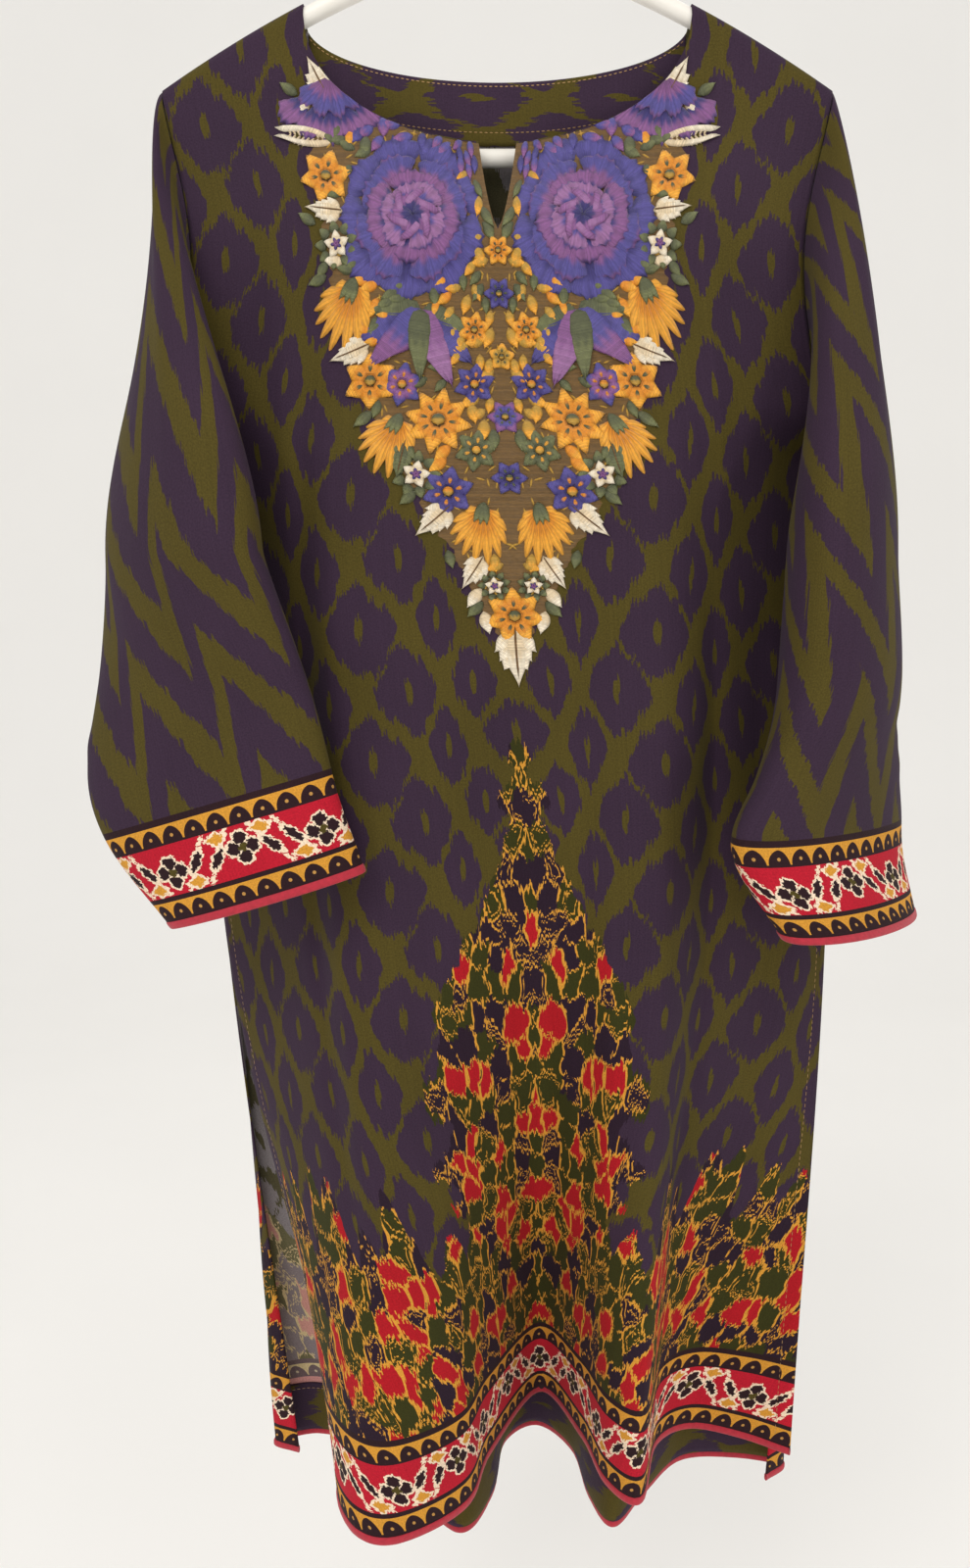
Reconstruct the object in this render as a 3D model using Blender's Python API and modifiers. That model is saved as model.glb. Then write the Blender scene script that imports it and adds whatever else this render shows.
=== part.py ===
"""A printed kameez with an embroidered yoke, hung on a plain tubular hanger.

Metres, +Z up. The front faces -Y and the wearer's right side is at -X. The origin is the
inner top of the hanger's hook, where a rail bears, so everything hangs below it. Cloth is a
wall through plan sections: each fold line is a row of a table that gives its place across
(x) and its depth (y) at a few heights, and smooth curves run through the rows.
"""

import math

import bpy
import numpy as np

# Heights are drops below the neck points, where the neckline meets the shoulder seams.
NECK_POINT_Z = -0.115
WALL = 0.0015
SEAM = 0.0003
BINDING_HEIGHT = 0.005
BINDING_WALL = 0.0024

# Hanger: one tube bent into arms and bar, and a hook.
TUBE_RADIUS = 0.0055
HOOK_WIRE_RADIUS = 0.004
HOOK_INNER_RADIUS = 0.022
ARM_SLOPE = 0.269
ARM_CURVE = 0.953
ARM_END_X = 0.172
BAR_DROP = 0.088
CLOTH_OVER_TUBE = TUBE_RADIUS + SEAM + WALL / 2

# Body cut.
NECK_HALF = 0.117
SHOULDER_HALF = 0.2045
FRONT_NECK_DROP = 0.082
BACK_NECK_DROP = 0.042
NECK_SLIT_BOTTOM = 0.136
NECK_SLIT_HALF = 0.0115
ARMHOLE_MIDDLE = 0.15
ARMHOLE_LOW = 0.238
UNDERARM = 0.27
SIDE_SLIT_TOP = 0.56
FRONT_LENGTH = 0.953
BACK_LENGTH = 1.005
CHEST_NARROWING = 0.09
HANG_BLEND = 0.09
SEAM_HALF_Y = 0.00045
ARMHOLE_GAP = 0.0020

# Facings and yoke.
NECK_FACING_DEPTH = 0.036
HEM_FACING_DEPTH = 0.042
FACING_WALL = 0.001
YOKE_WALL = 0.0012

# Grid: columns from centre to neck point and from neck point to side, and rows.
NECK_COLUMNS = 11
SHOULDER_COLUMNS = 7
YOKE_ROWS = 7
FRONT_ROWS_BELOW = 18
BACK_ROWS_BELOW = 18
SLEEVE_COLUMNS = 26
CAP_ROWS = 6

# Front folds: name, y at the armholes' middle height, then x and y at the chest, at the
# top of the side slits and at the hem.
FRONT_FOLDS = (
    ("right slit edge", -0.016, -0.200, 0.0110, -0.189, 0.0455, -0.100, 0.010),
    ("right hollow", -0.020, -0.160, -0.0120, -0.153, 0.0100, -0.106, -0.034),
    ("right ridge", -0.026, -0.119, -0.0370, -0.107, -0.0380, -0.090, -0.074),
    ("first lobe", -0.030, -0.087, -0.0450, -0.076, -0.0550, -0.062, -0.081),
    ("first lobe side", -0.031, -0.054, -0.0460, -0.042, -0.0500, -0.020, -0.046),
    ("arch side", -0.031, -0.022, -0.0450, -0.010, -0.0380, -0.004, 0.012),
    ("arch crown", -0.031, 0.010, -0.0440, 0.022, -0.0270, 0.034, 0.090),
    ("arch far side", -0.031, 0.042, -0.0445, 0.052, -0.0310, 0.062, 0.032),
    ("second lobe side", -0.031, 0.075, -0.0450, 0.078, -0.0450, 0.075, -0.022),
    ("second lobe", -0.030, 0.107, -0.0420, 0.105, -0.0480, 0.096, -0.042),
    ("second arch side", -0.026, 0.138, -0.0280, 0.130, -0.0220, 0.113, 0.020),
    ("second arch", -0.023, 0.166, -0.0140, 0.160, -0.0060, 0.140, 0.042),
    ("left hollow", -0.020, 0.188, 0.0030, 0.198, 0.0080, 0.175, 0.031),
    ("left slit edge", -0.016, 0.203, 0.0137, 0.224, 0.0280, 0.207, 0.010),
)
BACK_FOLDS = (
    ("right slit edge", 0.018, -0.200, 0.0131, -0.189, 0.0476, -0.150, 0.092),
    ("right curl", 0.020, -0.188, 0.0230, -0.180, 0.0570, -0.170, 0.103),
    ("right turn", 0.022, -0.160, 0.0350, -0.157, 0.0580, -0.138, 0.117),
    ("right flank", 0.024, -0.128, 0.0330, -0.124, 0.0470, -0.100, 0.098),
    ("first lobe flank", 0.025, -0.096, 0.0310, -0.088, 0.0220, -0.062, 0.046),
    ("first lobe", 0.025, -0.064, 0.0300, -0.054, 0.0020, -0.025, 0.000),
    ("arch side", 0.025, -0.034, 0.0300, -0.020, 0.0100, -0.003, 0.040),
    ("arch crown edge", 0.025, -0.006, 0.0300, 0.004, 0.0210, 0.007, 0.104),
    ("arch crown", 0.025, 0.022, 0.0300, 0.030, 0.0300, 0.034, 0.128),
    ("arch far edge", 0.025, 0.050, 0.0300, 0.054, 0.0270, 0.060, 0.094),
    ("arch far side", 0.025, 0.078, 0.0300, 0.075, 0.0160, 0.069, 0.038),
    ("second lobe", 0.024, 0.104, 0.0310, 0.096, 0.0110, 0.083, 0.006),
    ("second lobe flank", 0.023, 0.128, 0.0330, 0.120, 0.0250, 0.108, 0.042),
    ("second arch", 0.022, 0.150, 0.0370, 0.148, 0.0380, 0.140, 0.082),
    ("left flank", 0.020, 0.172, 0.0360, 0.182, 0.0400, 0.182, 0.086),
    ("left curl", 0.018, 0.192, 0.0280, 0.211, 0.0360, 0.217, 0.075),
    ("left slit edge", 0.016, 0.203, 0.0158, 0.224, 0.0301, 0.201, 0.058),
)

# Sleeve sections: drop, x and y of the centre, half width and half depth of the oval, the
# turn in degrees that brings its inner end forward, and how much its inner end is raised.
RIGHT_SLEEVE = (
    (0.330, -0.1905, -0.046, 0.070, 0.034, 48.0, 0.002),
    (0.387, -0.1840, -0.052, 0.073, 0.029, 32.0, 0.010),
    (0.445, -0.1785, -0.064, 0.0755, 0.022, 15.0, 0.018),
    (0.480, -0.1690, -0.068, 0.0715, 0.022, 9.0, 0.020),
    (0.5365, -0.1388, -0.072, 0.0598, 0.022, 8.0, 0.019),
)
LEFT_SLEEVE = (
    (0.330, 0.2085, -0.044, 0.066, 0.032, 73.0, 0.000),
    (0.400, 0.2105, -0.042, 0.063, 0.035, 65.0, 0.000),
    (0.460, 0.2050, -0.046, 0.0710, 0.030, 49.0, 0.000),
    (0.500, 0.2000, -0.046, 0.0805, 0.030, 43.0, 0.002),
    (0.558, 0.2215, -0.046, 0.0735, 0.028, 50.0, 0.002),
)
UNDERARM_TURN = 120.0
# How much less each sleeve's head swings outward below the shoulder tip.
RIGHT_HEAD_FALL = 0.0
LEFT_HEAD_FALL = 0.008

# Yoke outline: how far down it reaches at places across.
YOKE_ACROSS = (0.000, 0.012, 0.030, 0.052, 0.075, 0.098, 0.120, 0.133)
YOKE_LOWER_EDGE = (0.412, 0.378, 0.335, 0.318, 0.262, 0.240, 0.226, 0.160)

# Raised blooms of the yoke: across, drop, radius and height, on both sides of the slit.
BLOOMS = (
    (0.052, 0.134, 0.046, 0.0026),
    (0.052, 0.212, 0.026, 0.0020),
    (0.104, 0.204, 0.020, 0.0018),
    (0.034, 0.258, 0.020, 0.0017),
    (0.068, 0.268, 0.018, 0.0016),
    (0.027, 0.318, 0.021, 0.0018),
    (0.000, 0.372, 0.020, 0.0018),
)

COLOURS = {
    "plastic": ((0.85, 0.84, 0.80), 0.35),
    "print": ((0.055, 0.045, 0.050), 0.85),
    "zigzag": ((0.075, 0.060, 0.035), 0.85),
    "inside": ((0.060, 0.055, 0.035), 0.88),
    "binding": ((0.420, 0.020, 0.045), 0.80),
    "embroidery": ((0.300, 0.160, 0.180), 0.60),
}


def smooth_through(knots, values, at):
    """A cubic through the values with slopes that never overshoot. Values run along axis 0."""
    knots = np.asarray(knots, float)
    values = np.asarray(values, float)
    at = np.clip(np.asarray(at, float), knots[0], knots[-1])
    step = np.diff(knots)
    rise = np.diff(values, axis=0) / step[:, None]
    slope = np.zeros_like(values)
    same_way = rise[1:] * rise[:-1] > 0
    mean = 2 * rise[1:] * rise[:-1] / np.where(same_way, rise[1:] + rise[:-1], 1.0)
    slope[1:-1] = np.where(same_way, mean, 0.0)
    slope[0] = rise[0]
    slope[-1] = rise[-1]
    i = np.clip(np.searchsorted(knots, at, side="right") - 1, 0, len(step) - 1)
    h = step[i][:, None]
    t = ((at - knots[i]) / step[i])[:, None]
    return (
        values[i] * (2 * t**3 - 3 * t**2 + 1)
        + slope[i] * h * (t**3 - 2 * t**2 + t)
        + values[i + 1] * (3 * t**2 - 2 * t**3)
        + slope[i + 1] * h * (t**3 - t**2)
    )


def rounded_line(points, count):
    """Points spread evenly along a smooth curve through the given plan points."""
    points = np.asarray(points, float)
    at = np.linspace(0, len(points) - 1, 12 * len(points))
    padded = np.vstack([2 * points[0] - points[1], points, 2 * points[-1] - points[-2]])
    i = np.minimum(at.astype(int), len(points) - 2)
    t = (at - i)[:, None]
    a, b, c, d = padded[i], padded[i + 1], padded[i + 2], padded[i + 3]
    line = b + 0.5 * t * (
        c - a + t * (2 * a - 5 * b + 4 * c - d + t * (3 * (b - c) + d - a))
    )
    along = np.concatenate([[0], np.cumsum(np.linalg.norm(np.diff(line, axis=0), axis=1))])
    even = np.linspace(0, along[-1], count)
    return np.stack([np.interp(even, along, line[:, k]) for k in (0, 1)], axis=1)


def arm_drop(x):
    """How far the cloth that lies over the hanger's arm is below the neck point at x."""
    x = np.abs(x)
    level = ARM_SLOPE * NECK_HALF + ARM_CURVE * NECK_HALF**2
    return ARM_SLOPE * x + ARM_CURVE * x**2 - level


def over_tube(x):
    """Vertical distance from the arm's centre line up to the cloth's middle at x."""
    slope = ARM_SLOPE + 2 * ARM_CURVE * np.abs(x)
    return CLOTH_OVER_TUBE * np.sqrt(1 + slope**2)


def ease(t):
    t = np.clip(t, 0, 1)
    return t * t * (3 - 2 * t)


class Panel:
    """The smooth hung surface of the front or back, by share across and drop."""

    SHARES = 161
    HEIGHTS = 140

    def __init__(self, folds, length, side):
        self.length = length
        self.side = side
        rows = np.array([fold[1:] for fold in folds], float)
        across_y, chest_x, chest_y, slit_x, slit_y, hem_x, hem_y = rows.T
        spread = chest_x / chest_x[-1] * SHOULDER_HALF
        spread[0] = -SHOULDER_HALF
        near_arm = np.full_like(across_y, side * CLOTH_OVER_TUBE)
        low_x = 0.35 * spread + 0.65 * chest_x
        low_y = 0.75 * across_y + 0.25 * chest_y
        stations = (0.0, 0.05, ARMHOLE_MIDDLE, ARMHOLE_LOW, UNDERARM, SIDE_SLIT_TOP, length)
        x = (spread, spread, spread, low_x, chest_x, slit_x, hem_x)
        y = (near_arm, near_arm, across_y, low_y, chest_y, slit_y, hem_y)
        self.drops = np.linspace(0, length, self.HEIGHTS)
        xs = smooth_through(stations, x, self.drops)
        ys = smooth_through(stations, y, self.drops)
        seam = (self.drops > UNDERARM) & (self.drops < SIDE_SLIT_TOP)
        ends = (UNDERARM, SIDE_SLIT_TOP)
        for edge in (0, -1):
            xs[seam, edge] = np.interp(self.drops[seam], ends, (chest_x[edge], slit_x[edge]))
            ys[seam, edge] = np.interp(self.drops[seam], ends, (chest_y[edge], slit_y[edge]))
        self.plan = np.array(
            [rounded_line(np.stack(row, axis=1), self.SHARES) for row in zip(xs, ys)]
        )

    def at(self, share, drop):
        """Points for shares from -1 to 1 across and drops below the neck points."""
        share, drop = np.broadcast_arrays(share, drop)
        p = (share + 1) / 2 * (self.SHARES - 1)
        q = np.clip(drop / self.length, 0, 1) * (self.HEIGHTS - 1)
        i = np.clip(p.astype(int), 0, self.SHARES - 2)
        j = np.clip(q.astype(int), 0, self.HEIGHTS - 2)
        p, q = (p - i)[..., None], (q - j)[..., None]
        plan = (
            self.plan[j, i] * (1 - p) * (1 - q)
            + self.plan[j, i + 1] * p * (1 - q)
            + self.plan[j + 1, i] * (1 - p) * q
            + self.plan[j + 1, i + 1] * p * q
        )
        bump = np.sin(np.pi * np.clip((drop - 0.03) / (UNDERARM - 0.03), 0, 1)) ** 2
        x = plan[..., 0] * (1 - CHEST_NARROWING * bump)
        below_arm = np.maximum(drop - arm_drop(x), 0)
        over = np.clip(below_arm / over_tube(x), 0, 1)
        hug = CLOTH_OVER_TUBE * np.sqrt(1 - (1 - over) ** 2)
        hug = np.maximum(hug, SEAM_HALF_Y)
        y = self.side * hug
        y = y + (plan[..., 1] - self.side * CLOTH_OVER_TUBE) * ease(below_arm / HANG_BLEND)
        return np.stack([x, y, NECK_POINT_Z - drop], axis=-1)


def column_shares():
    """Shares from centre to side, closer together where the neckline is steep."""
    turn = np.linspace(0, 1, NECK_COLUMNS + 1)
    neck = (0.5 * np.sin(turn * math.pi / 2) + 0.5 * turn) * NECK_HALF / SHOULDER_HALF
    side = np.linspace(neck[-1], 1, SHOULDER_COLUMNS + 1)[1:]
    return np.concatenate([neck, side])


def top_edge(share, neck_drop):
    """Drop of the neckline, an ellipse that ends beside the arm, or of the shoulder seam."""
    x = np.abs(share) * SHOULDER_HALF
    inside = np.sqrt(np.clip(1 - (x / NECK_HALF) ** 2, 0, 1))
    beside_arm = float(over_tube(NECK_HALF))
    neckline = beside_arm + (neck_drop - beside_arm) * inside
    return np.where(x < NECK_HALF - 1e-6, neckline, arm_drop(x))


def first_rows(shares):
    """How far the first rows are below the top edge. At the neckline only the last is used."""
    x = shares * SHOULDER_HALF
    round_arm = over_tube(x) * np.array([0, 0.134, 0.5, 1.0])[:, None]
    above = 0.002 * np.arange(-3, 1)[:, None]
    return np.where(x < NECK_HALF - 1e-6, above, round_arm)


def rows_down(shares, start, end, count):
    """Rows from one line down to another. At the side two meet the armhole's low corners."""
    even = np.linspace(0, 1, count + 1)[1:, None]
    above = round((ARMHOLE_LOW - start[-1]) / (end[-1] - start[-1]) * count)
    marks = np.concatenate([
        np.linspace(start[-1], ARMHOLE_LOW, above + 1)[1:],
        np.linspace(UNDERARM, end[-1], count - above),
    ])
    at_side = ((marks - start[-1]) / (end[-1] - start[-1]))[:, None]
    return start + (end - start) * (even + (at_side - even) * shares**2)


def front_rows(shares, hem):
    """Drops of the front's rows: over the arm, down to the yoke's lower edge, then to the hem.

    At the centre one row meets the bottom of the neck slit.
    """
    across = shares * SHOULDER_HALF
    top = top_edge(shares, FRONT_NECK_DROP)
    over_arm = top + first_rows(shares)
    start = over_arm[-1]
    yoke = np.interp(across, YOKE_ACROSS, YOKE_LOWER_EDGE)
    even = np.linspace(0, 1, YOKE_ROWS + 1)[:, None]
    crossing = (NECK_SLIT_BOTTOM - start[0]) / (yoke[0] - start[0])
    near = even[1 + np.abs(even[1:, 0] - crossing).argmin(), 0]
    above = even * crossing / near
    below = crossing + (even - near) * (1 - crossing) / (1 - near)
    bent = np.where(even <= near, above, below)
    centre = np.clip(1 - np.arange(len(shares)) / 6, 0, 1)
    at_yoke = start + (yoke - start) * (even + (bent - even) * centre)
    lower = rows_down(shares, yoke, hem + 0 * top, FRONT_ROWS_BELOW)
    return np.concatenate([over_arm[:-1], at_yoke, lower])


def back_rows(shares, hem):
    """Drops of the back's rows, with rows along the facings at the neck and the hem."""
    top = top_edge(shares, BACK_NECK_DROP)
    over_arm = top + first_rows(shares)
    facing = over_arm[-1] + NECK_FACING_DEPTH * np.array([0.33, 0.67, 1.0])[:, None]
    last_facing = hem - HEM_FACING_DEPTH + 0 * top
    lower = rows_down(shares, facing[-1], last_facing, BACK_ROWS_BELOW)
    last = hem - HEM_FACING_DEPTH * np.array([0.5, 0.0])[:, None] + 0 * top
    return np.concatenate([over_arm, facing, lower, last])


def mesh_object(name, points, faces, colour, wall, mitred=True):
    """An object from points and faces, made a wall of the given thickness."""
    mesh = bpy.data.meshes.new(name)
    mesh.from_pydata([tuple(p) for p in points], [], faces)
    mesh.validate()
    mesh.shade_smooth()
    thing = bpy.data.objects.new(name, mesh)
    collection.objects.link(thing)
    mesh.materials.append(material(colour))
    if wall:
        solid = thing.modifiers.new("wall", "SOLIDIFY")
        solid.thickness = wall
        solid.offset = 0
        solid.use_even_offset = mitred
    return thing


def material(name):
    found = bpy.data.materials.get(name)
    if found:
        return found
    colour, roughness = COLOURS[name]
    made = bpy.data.materials.new(name)
    made.use_nodes = True
    shader = made.node_tree.nodes["Principled BSDF"]
    shader.inputs["Base Color"].default_value = (*colour, 1)
    shader.inputs["Roughness"].default_value = roughness
    return made


def grid_faces(rows, columns, outward, closed=False):
    """Quads of a grid whose points run along each row. Outward is +1 or -1."""
    faces = []
    for r in range(rows - 1):
        for c in range(columns if closed else columns - 1):
            a = r * columns + c
            b = r * columns + (c + 1) % columns
            quad = (a, b, b + columns, a + columns)
            faces.append(quad if outward > 0 else (b, a, a + columns, b + columns))
    return faces


def in_triangles(faces):
    """Each quad as two triangles, cut from its first corner to its third."""
    return [t for a, b, c, d in faces for t in ((a, b, c), (a, c, d))]


def even_offsets(grid):
    """For each point, the move that shifts both cells beside it by one along their normals."""
    edge = np.diff(grid, axis=1)
    down = np.gradient(grid, axis=0)
    normal = np.cross((down[:, 1:] + down[:, :-1]) / 2, edge)
    normal /= np.linalg.norm(normal, axis=2, keepdims=True)
    before = np.concatenate([normal[:, :1], normal], axis=1)
    after = np.concatenate([normal, normal[:, -1:]], axis=1)
    return (before + after) / (1 + np.sum(before * after, axis=2, keepdims=True))


def slit_half_width(drop):
    """Half the width of the neck slit, which narrows to nothing at its bottom."""
    left = np.clip((NECK_SLIT_BOTTOM - drop) / (NECK_SLIT_BOTTOM - FRONT_NECK_DROP), 0, 1)
    return NECK_SLIT_HALF * left**0.6


def open_slit(grid, side):
    """Moves the centre column of a half aside, onto the edge of the neck slit."""
    half = slit_half_width(NECK_POINT_Z - grid[:, 0, 2])
    fade = np.clip(1 - np.arange(grid.shape[1]) / 4, 0, 1)
    grid[:, :, 0] += side * half[:, None] * fade
    return grid


def joined_grids(halves):
    """Points and quads of grids, joined wherever they share points.

    Each grid comes with which way it faces and which of its cells are used. Also returns,
    for each point kept, its place among all the grids' points.
    """
    points, faces, kept = [], [], []
    place = {}
    before = 0
    for grid, outward, cells in halves:
        rows, columns = grid.shape[:2]
        flat = grid.reshape(-1, 3)
        quads = grid_faces(rows, columns, outward)
        for quad, used in zip(quads, np.ravel(cells)):
            if not used:
                continue
            face = []
            for i in quad:
                key = tuple(np.round(flat[i], 6))
                if key not in place:
                    place[key] = len(points)
                    points.append(flat[i])
                    kept.append(before + i)
                face.append(place[key])
            faces.append(tuple(face))
        before += rows * columns
    return np.array(points), faces, kept


def point_normals(points, faces):
    """Unit normals of points, as the mean of the faces round each."""
    normal = np.zeros_like(points)
    for face in faces:
        corner = points[list(face)]
        turn = np.cross(corner[1] - corner[0], corner[2] - corner[0])
        for i in face:
            normal[i] += turn
    return normal / np.linalg.norm(normal, axis=1, keepdims=True)


def front_half(panel, side):
    """One half of the front, from the neck slit to the side, with its drops."""
    shares = column_shares()
    drops = front_rows(shares, panel.length - BINDING_HEIGHT - SEAM)
    return open_slit(panel.at(side * shares[None, :], drops), side), drops


def build_front(panel):
    halves = []
    for side in (-1, 1):
        grid, drops = front_half(panel, side)
        cells = np.ones((grid.shape[0] - 1, grid.shape[1] - 1))
        cells[:3, :NECK_COLUMNS] = 0
        halves.append((grid, -side, cells))
    points, faces, kept = joined_grids(halves)
    mesh_object("front", points, in_triangles(faces), "print", WALL)


def build_back(panel):
    """The back, and the facings that lie inside it at the neck and along the hem."""
    half = column_shares()
    shares = np.concatenate([-half[:0:-1], half])
    drops = back_rows(half, panel.length - BINDING_HEIGHT - SEAM)
    drops = np.concatenate([drops[:, :0:-1], drops], axis=1)
    grid = panel.at(shares[None, :], drops)
    cells = np.ones((grid.shape[0] - 1, grid.shape[1] - 1))
    cells[:3, SHOULDER_COLUMNS:-SHOULDER_COLUMNS] = 0
    points, faces, kept = joined_grids([(grid, 1, cells)])
    mesh_object("back", points, in_triangles(faces), "print", WALL)
    inside = grid + even_offsets(grid) * (WALL / 2 + 1.5 * SEAM + FACING_WALL / 2)
    first = SHOULDER_COLUMNS + 1
    for name, part in (
        ("back_neck_facing", inside[3:7, first:-first]),
        ("back_hem_facing", inside[-3:, 1:-1]),
    ):
        faces = in_triangles(grid_faces(*part.shape[:2], 1))
        mesh_object(name, part.reshape(-1, 3), faces, "inside", FACING_WALL)


def build_hem_binding(name, panel):
    shares = column_shares()
    every = np.concatenate([-shares[:0:-1], shares])
    drops = panel.length - np.array([[BINDING_HEIGHT], [0.0]])
    grid = panel.at(every[None, :], drops)
    faces = grid_faces(2, len(every), 1)
    mesh_object(name, grid.reshape(-1, 3), faces, "binding", BINDING_WALL)


def bloom_height(across, drop):
    """Relief of the embroidery: each bloom is a low dome with a dip at its heart."""
    height = np.zeros_like(drop)
    for place, depth, radius, rise in BLOOMS:
        away = np.hypot(np.abs(across) - place, drop - depth) / radius
        dome = rise * np.sqrt(np.clip(1 - away**2, 0, 1)) * (1 - 0.35 * np.exp(-9 * away**2))
        height = np.maximum(height, dome)
    return height


def halved(grid, axis, first):
    """A grid with a point added midway in each step along an axis, from a given step on."""
    grid = np.moveaxis(grid, axis, 0)
    middle = (grid[first:-1] + grid[first + 1 :]) / 2
    fine = np.empty((len(grid) + len(middle),) + grid.shape[1:])
    fine[: first + 1] = grid[: first + 1]
    fine[first + 1 :: 2] = middle
    fine[first::2] = grid[first:]
    return np.moveaxis(fine, 0, axis)


def yoke_half(panel, side):
    """The part of a front half that the yoke covers, its drops and which cells it uses."""
    grid, drops = front_half(panel, side)
    rows, columns = 4 + YOKE_ROWS, NECK_COLUMNS + 2
    both = np.concatenate([grid, drops[..., None]], axis=2)[:rows, :columns]
    fine = halved(halved(both, 0, 3), 1, 0)
    cut = (both[3:-1, :-1] + both[4:, 1:]) / 2
    if side > 0:
        cut = (both[3:-1, 1:] + both[4:, :-1]) / 2
    fine[4::2, 1::2] = cut
    cells = np.ones((fine.shape[0] - 1, fine.shape[1] - 1))
    cells[:3] = 0
    cells[:7, -2:] = 0
    return fine[..., :3], fine[..., 3], cells


def build_yoke(panel):
    """The embroidered yoke: a sheet of the front's own points, raised where blooms are."""
    shares = column_shares()[: NECK_COLUMNS + 2]
    across = halved(shares, 0, 0) * SHOULDER_HALF
    halves, relief = [], []
    for side in (-1, 1):
        grid, drops, cells = yoke_half(panel, side)
        rise = bloom_height(across[None, :] + 0 * drops, drops)
        rise[:, -1] = 0
        rise[-1] = 0
        halves.append((grid, -side, cells))
        relief.append(rise.reshape(-1))
    middle, sheet_faces, kept = joined_grids(halves)
    sheet_faces = in_triangles(sheet_faces)
    out = point_normals(middle, sheet_faces)
    inner = WALL / 2 + SEAM
    height = (inner + YOKE_WALL + np.concatenate(relief)[kept])[:, None]
    points = np.concatenate([middle + out * inner, middle + out * height])
    count = len(middle)
    faces = [f[::-1] for f in sheet_faces]
    faces += [tuple(i + count for i in f) for f in sheet_faces]
    edges = {(a, b) for face in sheet_faces for a, b in zip(face, face[1:] + face[:1])}
    for a, b in sorted(edges):
        if (b, a) not in edges:
            faces.append((a, b, b + count, a + count))
    mesh_object("neck_yoke", points, faces, "embroidery", 0)


def oval(section, turns, side):
    """One sleeve section as points, for turns in degrees from its underarm round the front."""
    drop, x, y, half_width, half_depth, turn, lift = section
    angle = np.radians(turns + UNDERARM_TURN)
    wide = half_width * np.cos(angle)
    deep = half_depth * np.sin(angle)
    yaw = math.radians(turn)
    inward = wide * math.cos(yaw) + deep * math.sin(yaw)
    back = -wide * math.sin(yaw) + deep * math.cos(yaw)
    up = lift * wide / half_width
    return np.stack([x - side * inward, y + back, NECK_POINT_Z - drop + up], axis=-1)


def armhole_side(panel, side, rows, drops):
    """Places on one panel's armhole edge, along the straight steps between its rows."""
    edge = panel.at(side * np.ones(len(rows)), rows)
    return np.stack([np.interp(drops, rows, edge[:, k]) for k in range(3)], axis=1)


def armhole(front, back, side, turns):
    """The body's armhole edge, just clear of it: up the front, over the tip, down the back."""
    shares = column_shares()
    front_side = front_rows(shares, front.length)[:, -1]
    back_side = back_rows(shares, back.length)[:, -1]
    tip = float(arm_drop(SHOULDER_HALF))
    up = 1 - np.abs(1 - turns / 180.0)
    corner = 4.0 / SLEEVE_COLUMNS
    drops = np.interp(up, (0, corner, 1), (UNDERARM, ARMHOLE_LOW, tip))
    first = armhole_side(front, side, front_side, drops)
    second = armhole_side(back, side, back_side, drops)
    edge = np.where((turns < 180)[:, None], first, second)
    middle = ((up < 1e-6) | (up > 1 - 1e-6))[:, None]
    edge = np.where(middle, (first + second) / 2, edge)
    edge[:, 0] += side * ARMHOLE_GAP
    return edge


def sleeve_grid(front, back, sections, side, head_fall, cuff_cut):
    turns = -np.arange(SLEEVE_COLUMNS) * 360.0 / SLEEVE_COLUMNS
    round_front = (-turns) % 360
    table = np.array(sections, float)
    start = armhole(front, back, side, round_front)
    first = oval(table[0], turns, side)
    forward = np.sin(np.radians(round_front))
    low = np.cos(np.radians(round_front))
    head = head_fall * np.maximum(-low, 0) ** 2
    leave = np.stack([
        side * (0.012 - 0.001 * low - 0.006 * np.maximum(forward, 0) - head),
        -0.018 * np.maximum(forward, 0) + 0.004 * np.maximum(-forward, 0),
        -0.010 - 0.004 * low,
    ], axis=-1)
    arrive = np.zeros_like(start)
    arrive[:, 2] = 0.4 * (start[:, 2] - first[:, 2])
    rows = []
    for t in np.linspace(0, 1, CAP_ROWS + 1)[:-1]:
        rows.append(
            start * (1 - t) ** 3
            + 3 * (start + leave) * t * (1 - t) ** 2
            + 3 * (first + arrive) * t**2 * (1 - t)
            + first * t**3
        )
    drops = np.concatenate([
        np.linspace(table[0, 0], table[-2, 0], 7),
        [(table[-2, 0] + table[-1, 0]) / 2, table[-1, 0] - cuff_cut],
    ])
    at = smooth_through(table[:, 0], table, drops)
    rows += [oval(section, turns, side) for section in at]
    return np.array(rows), table, turns


def build_sleeve(name, front, back, sections, side, head_fall):
    cuff_cut = BINDING_HEIGHT + SEAM
    grid, table, turns = sleeve_grid(front, back, sections, side, head_fall, cuff_cut)
    rows, columns = grid.shape[:2]
    faces = grid_faces(rows, columns, side, closed=True)
    mesh_object(name, grid.reshape(-1, 3), faces, "zigzag", WALL, mitred=False)
    low = table[-1, 0]
    ends = smooth_through(table[:, 0], table, [low - BINDING_HEIGHT, low])
    rim = np.array([oval(section, turns, side) for section in ends])
    faces = grid_faces(2, columns, side, closed=True)
    mesh_object(name + "_binding", rim.reshape(-1, 3), faces, "binding", BINDING_WALL)


def tube(name, points, radius, cyclic, sides_level, colour):
    """A tube along the points, as a poly curve with a round bevel."""
    curve = bpy.data.curves.new(name, "CURVE")
    curve.dimensions = "3D"
    curve.bevel_depth = radius
    curve.bevel_resolution = sides_level
    curve.use_fill_caps = not cyclic
    line = curve.splines.new("POLY")
    line.points.add(len(points) - 1)
    for point, place in zip(line.points, points):
        point.co = (*place, 1)
    line.use_cyclic_u = cyclic
    thing = bpy.data.objects.new(name, curve)
    collection.objects.link(thing)
    curve.materials.append(material(colour))
    return thing


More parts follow.
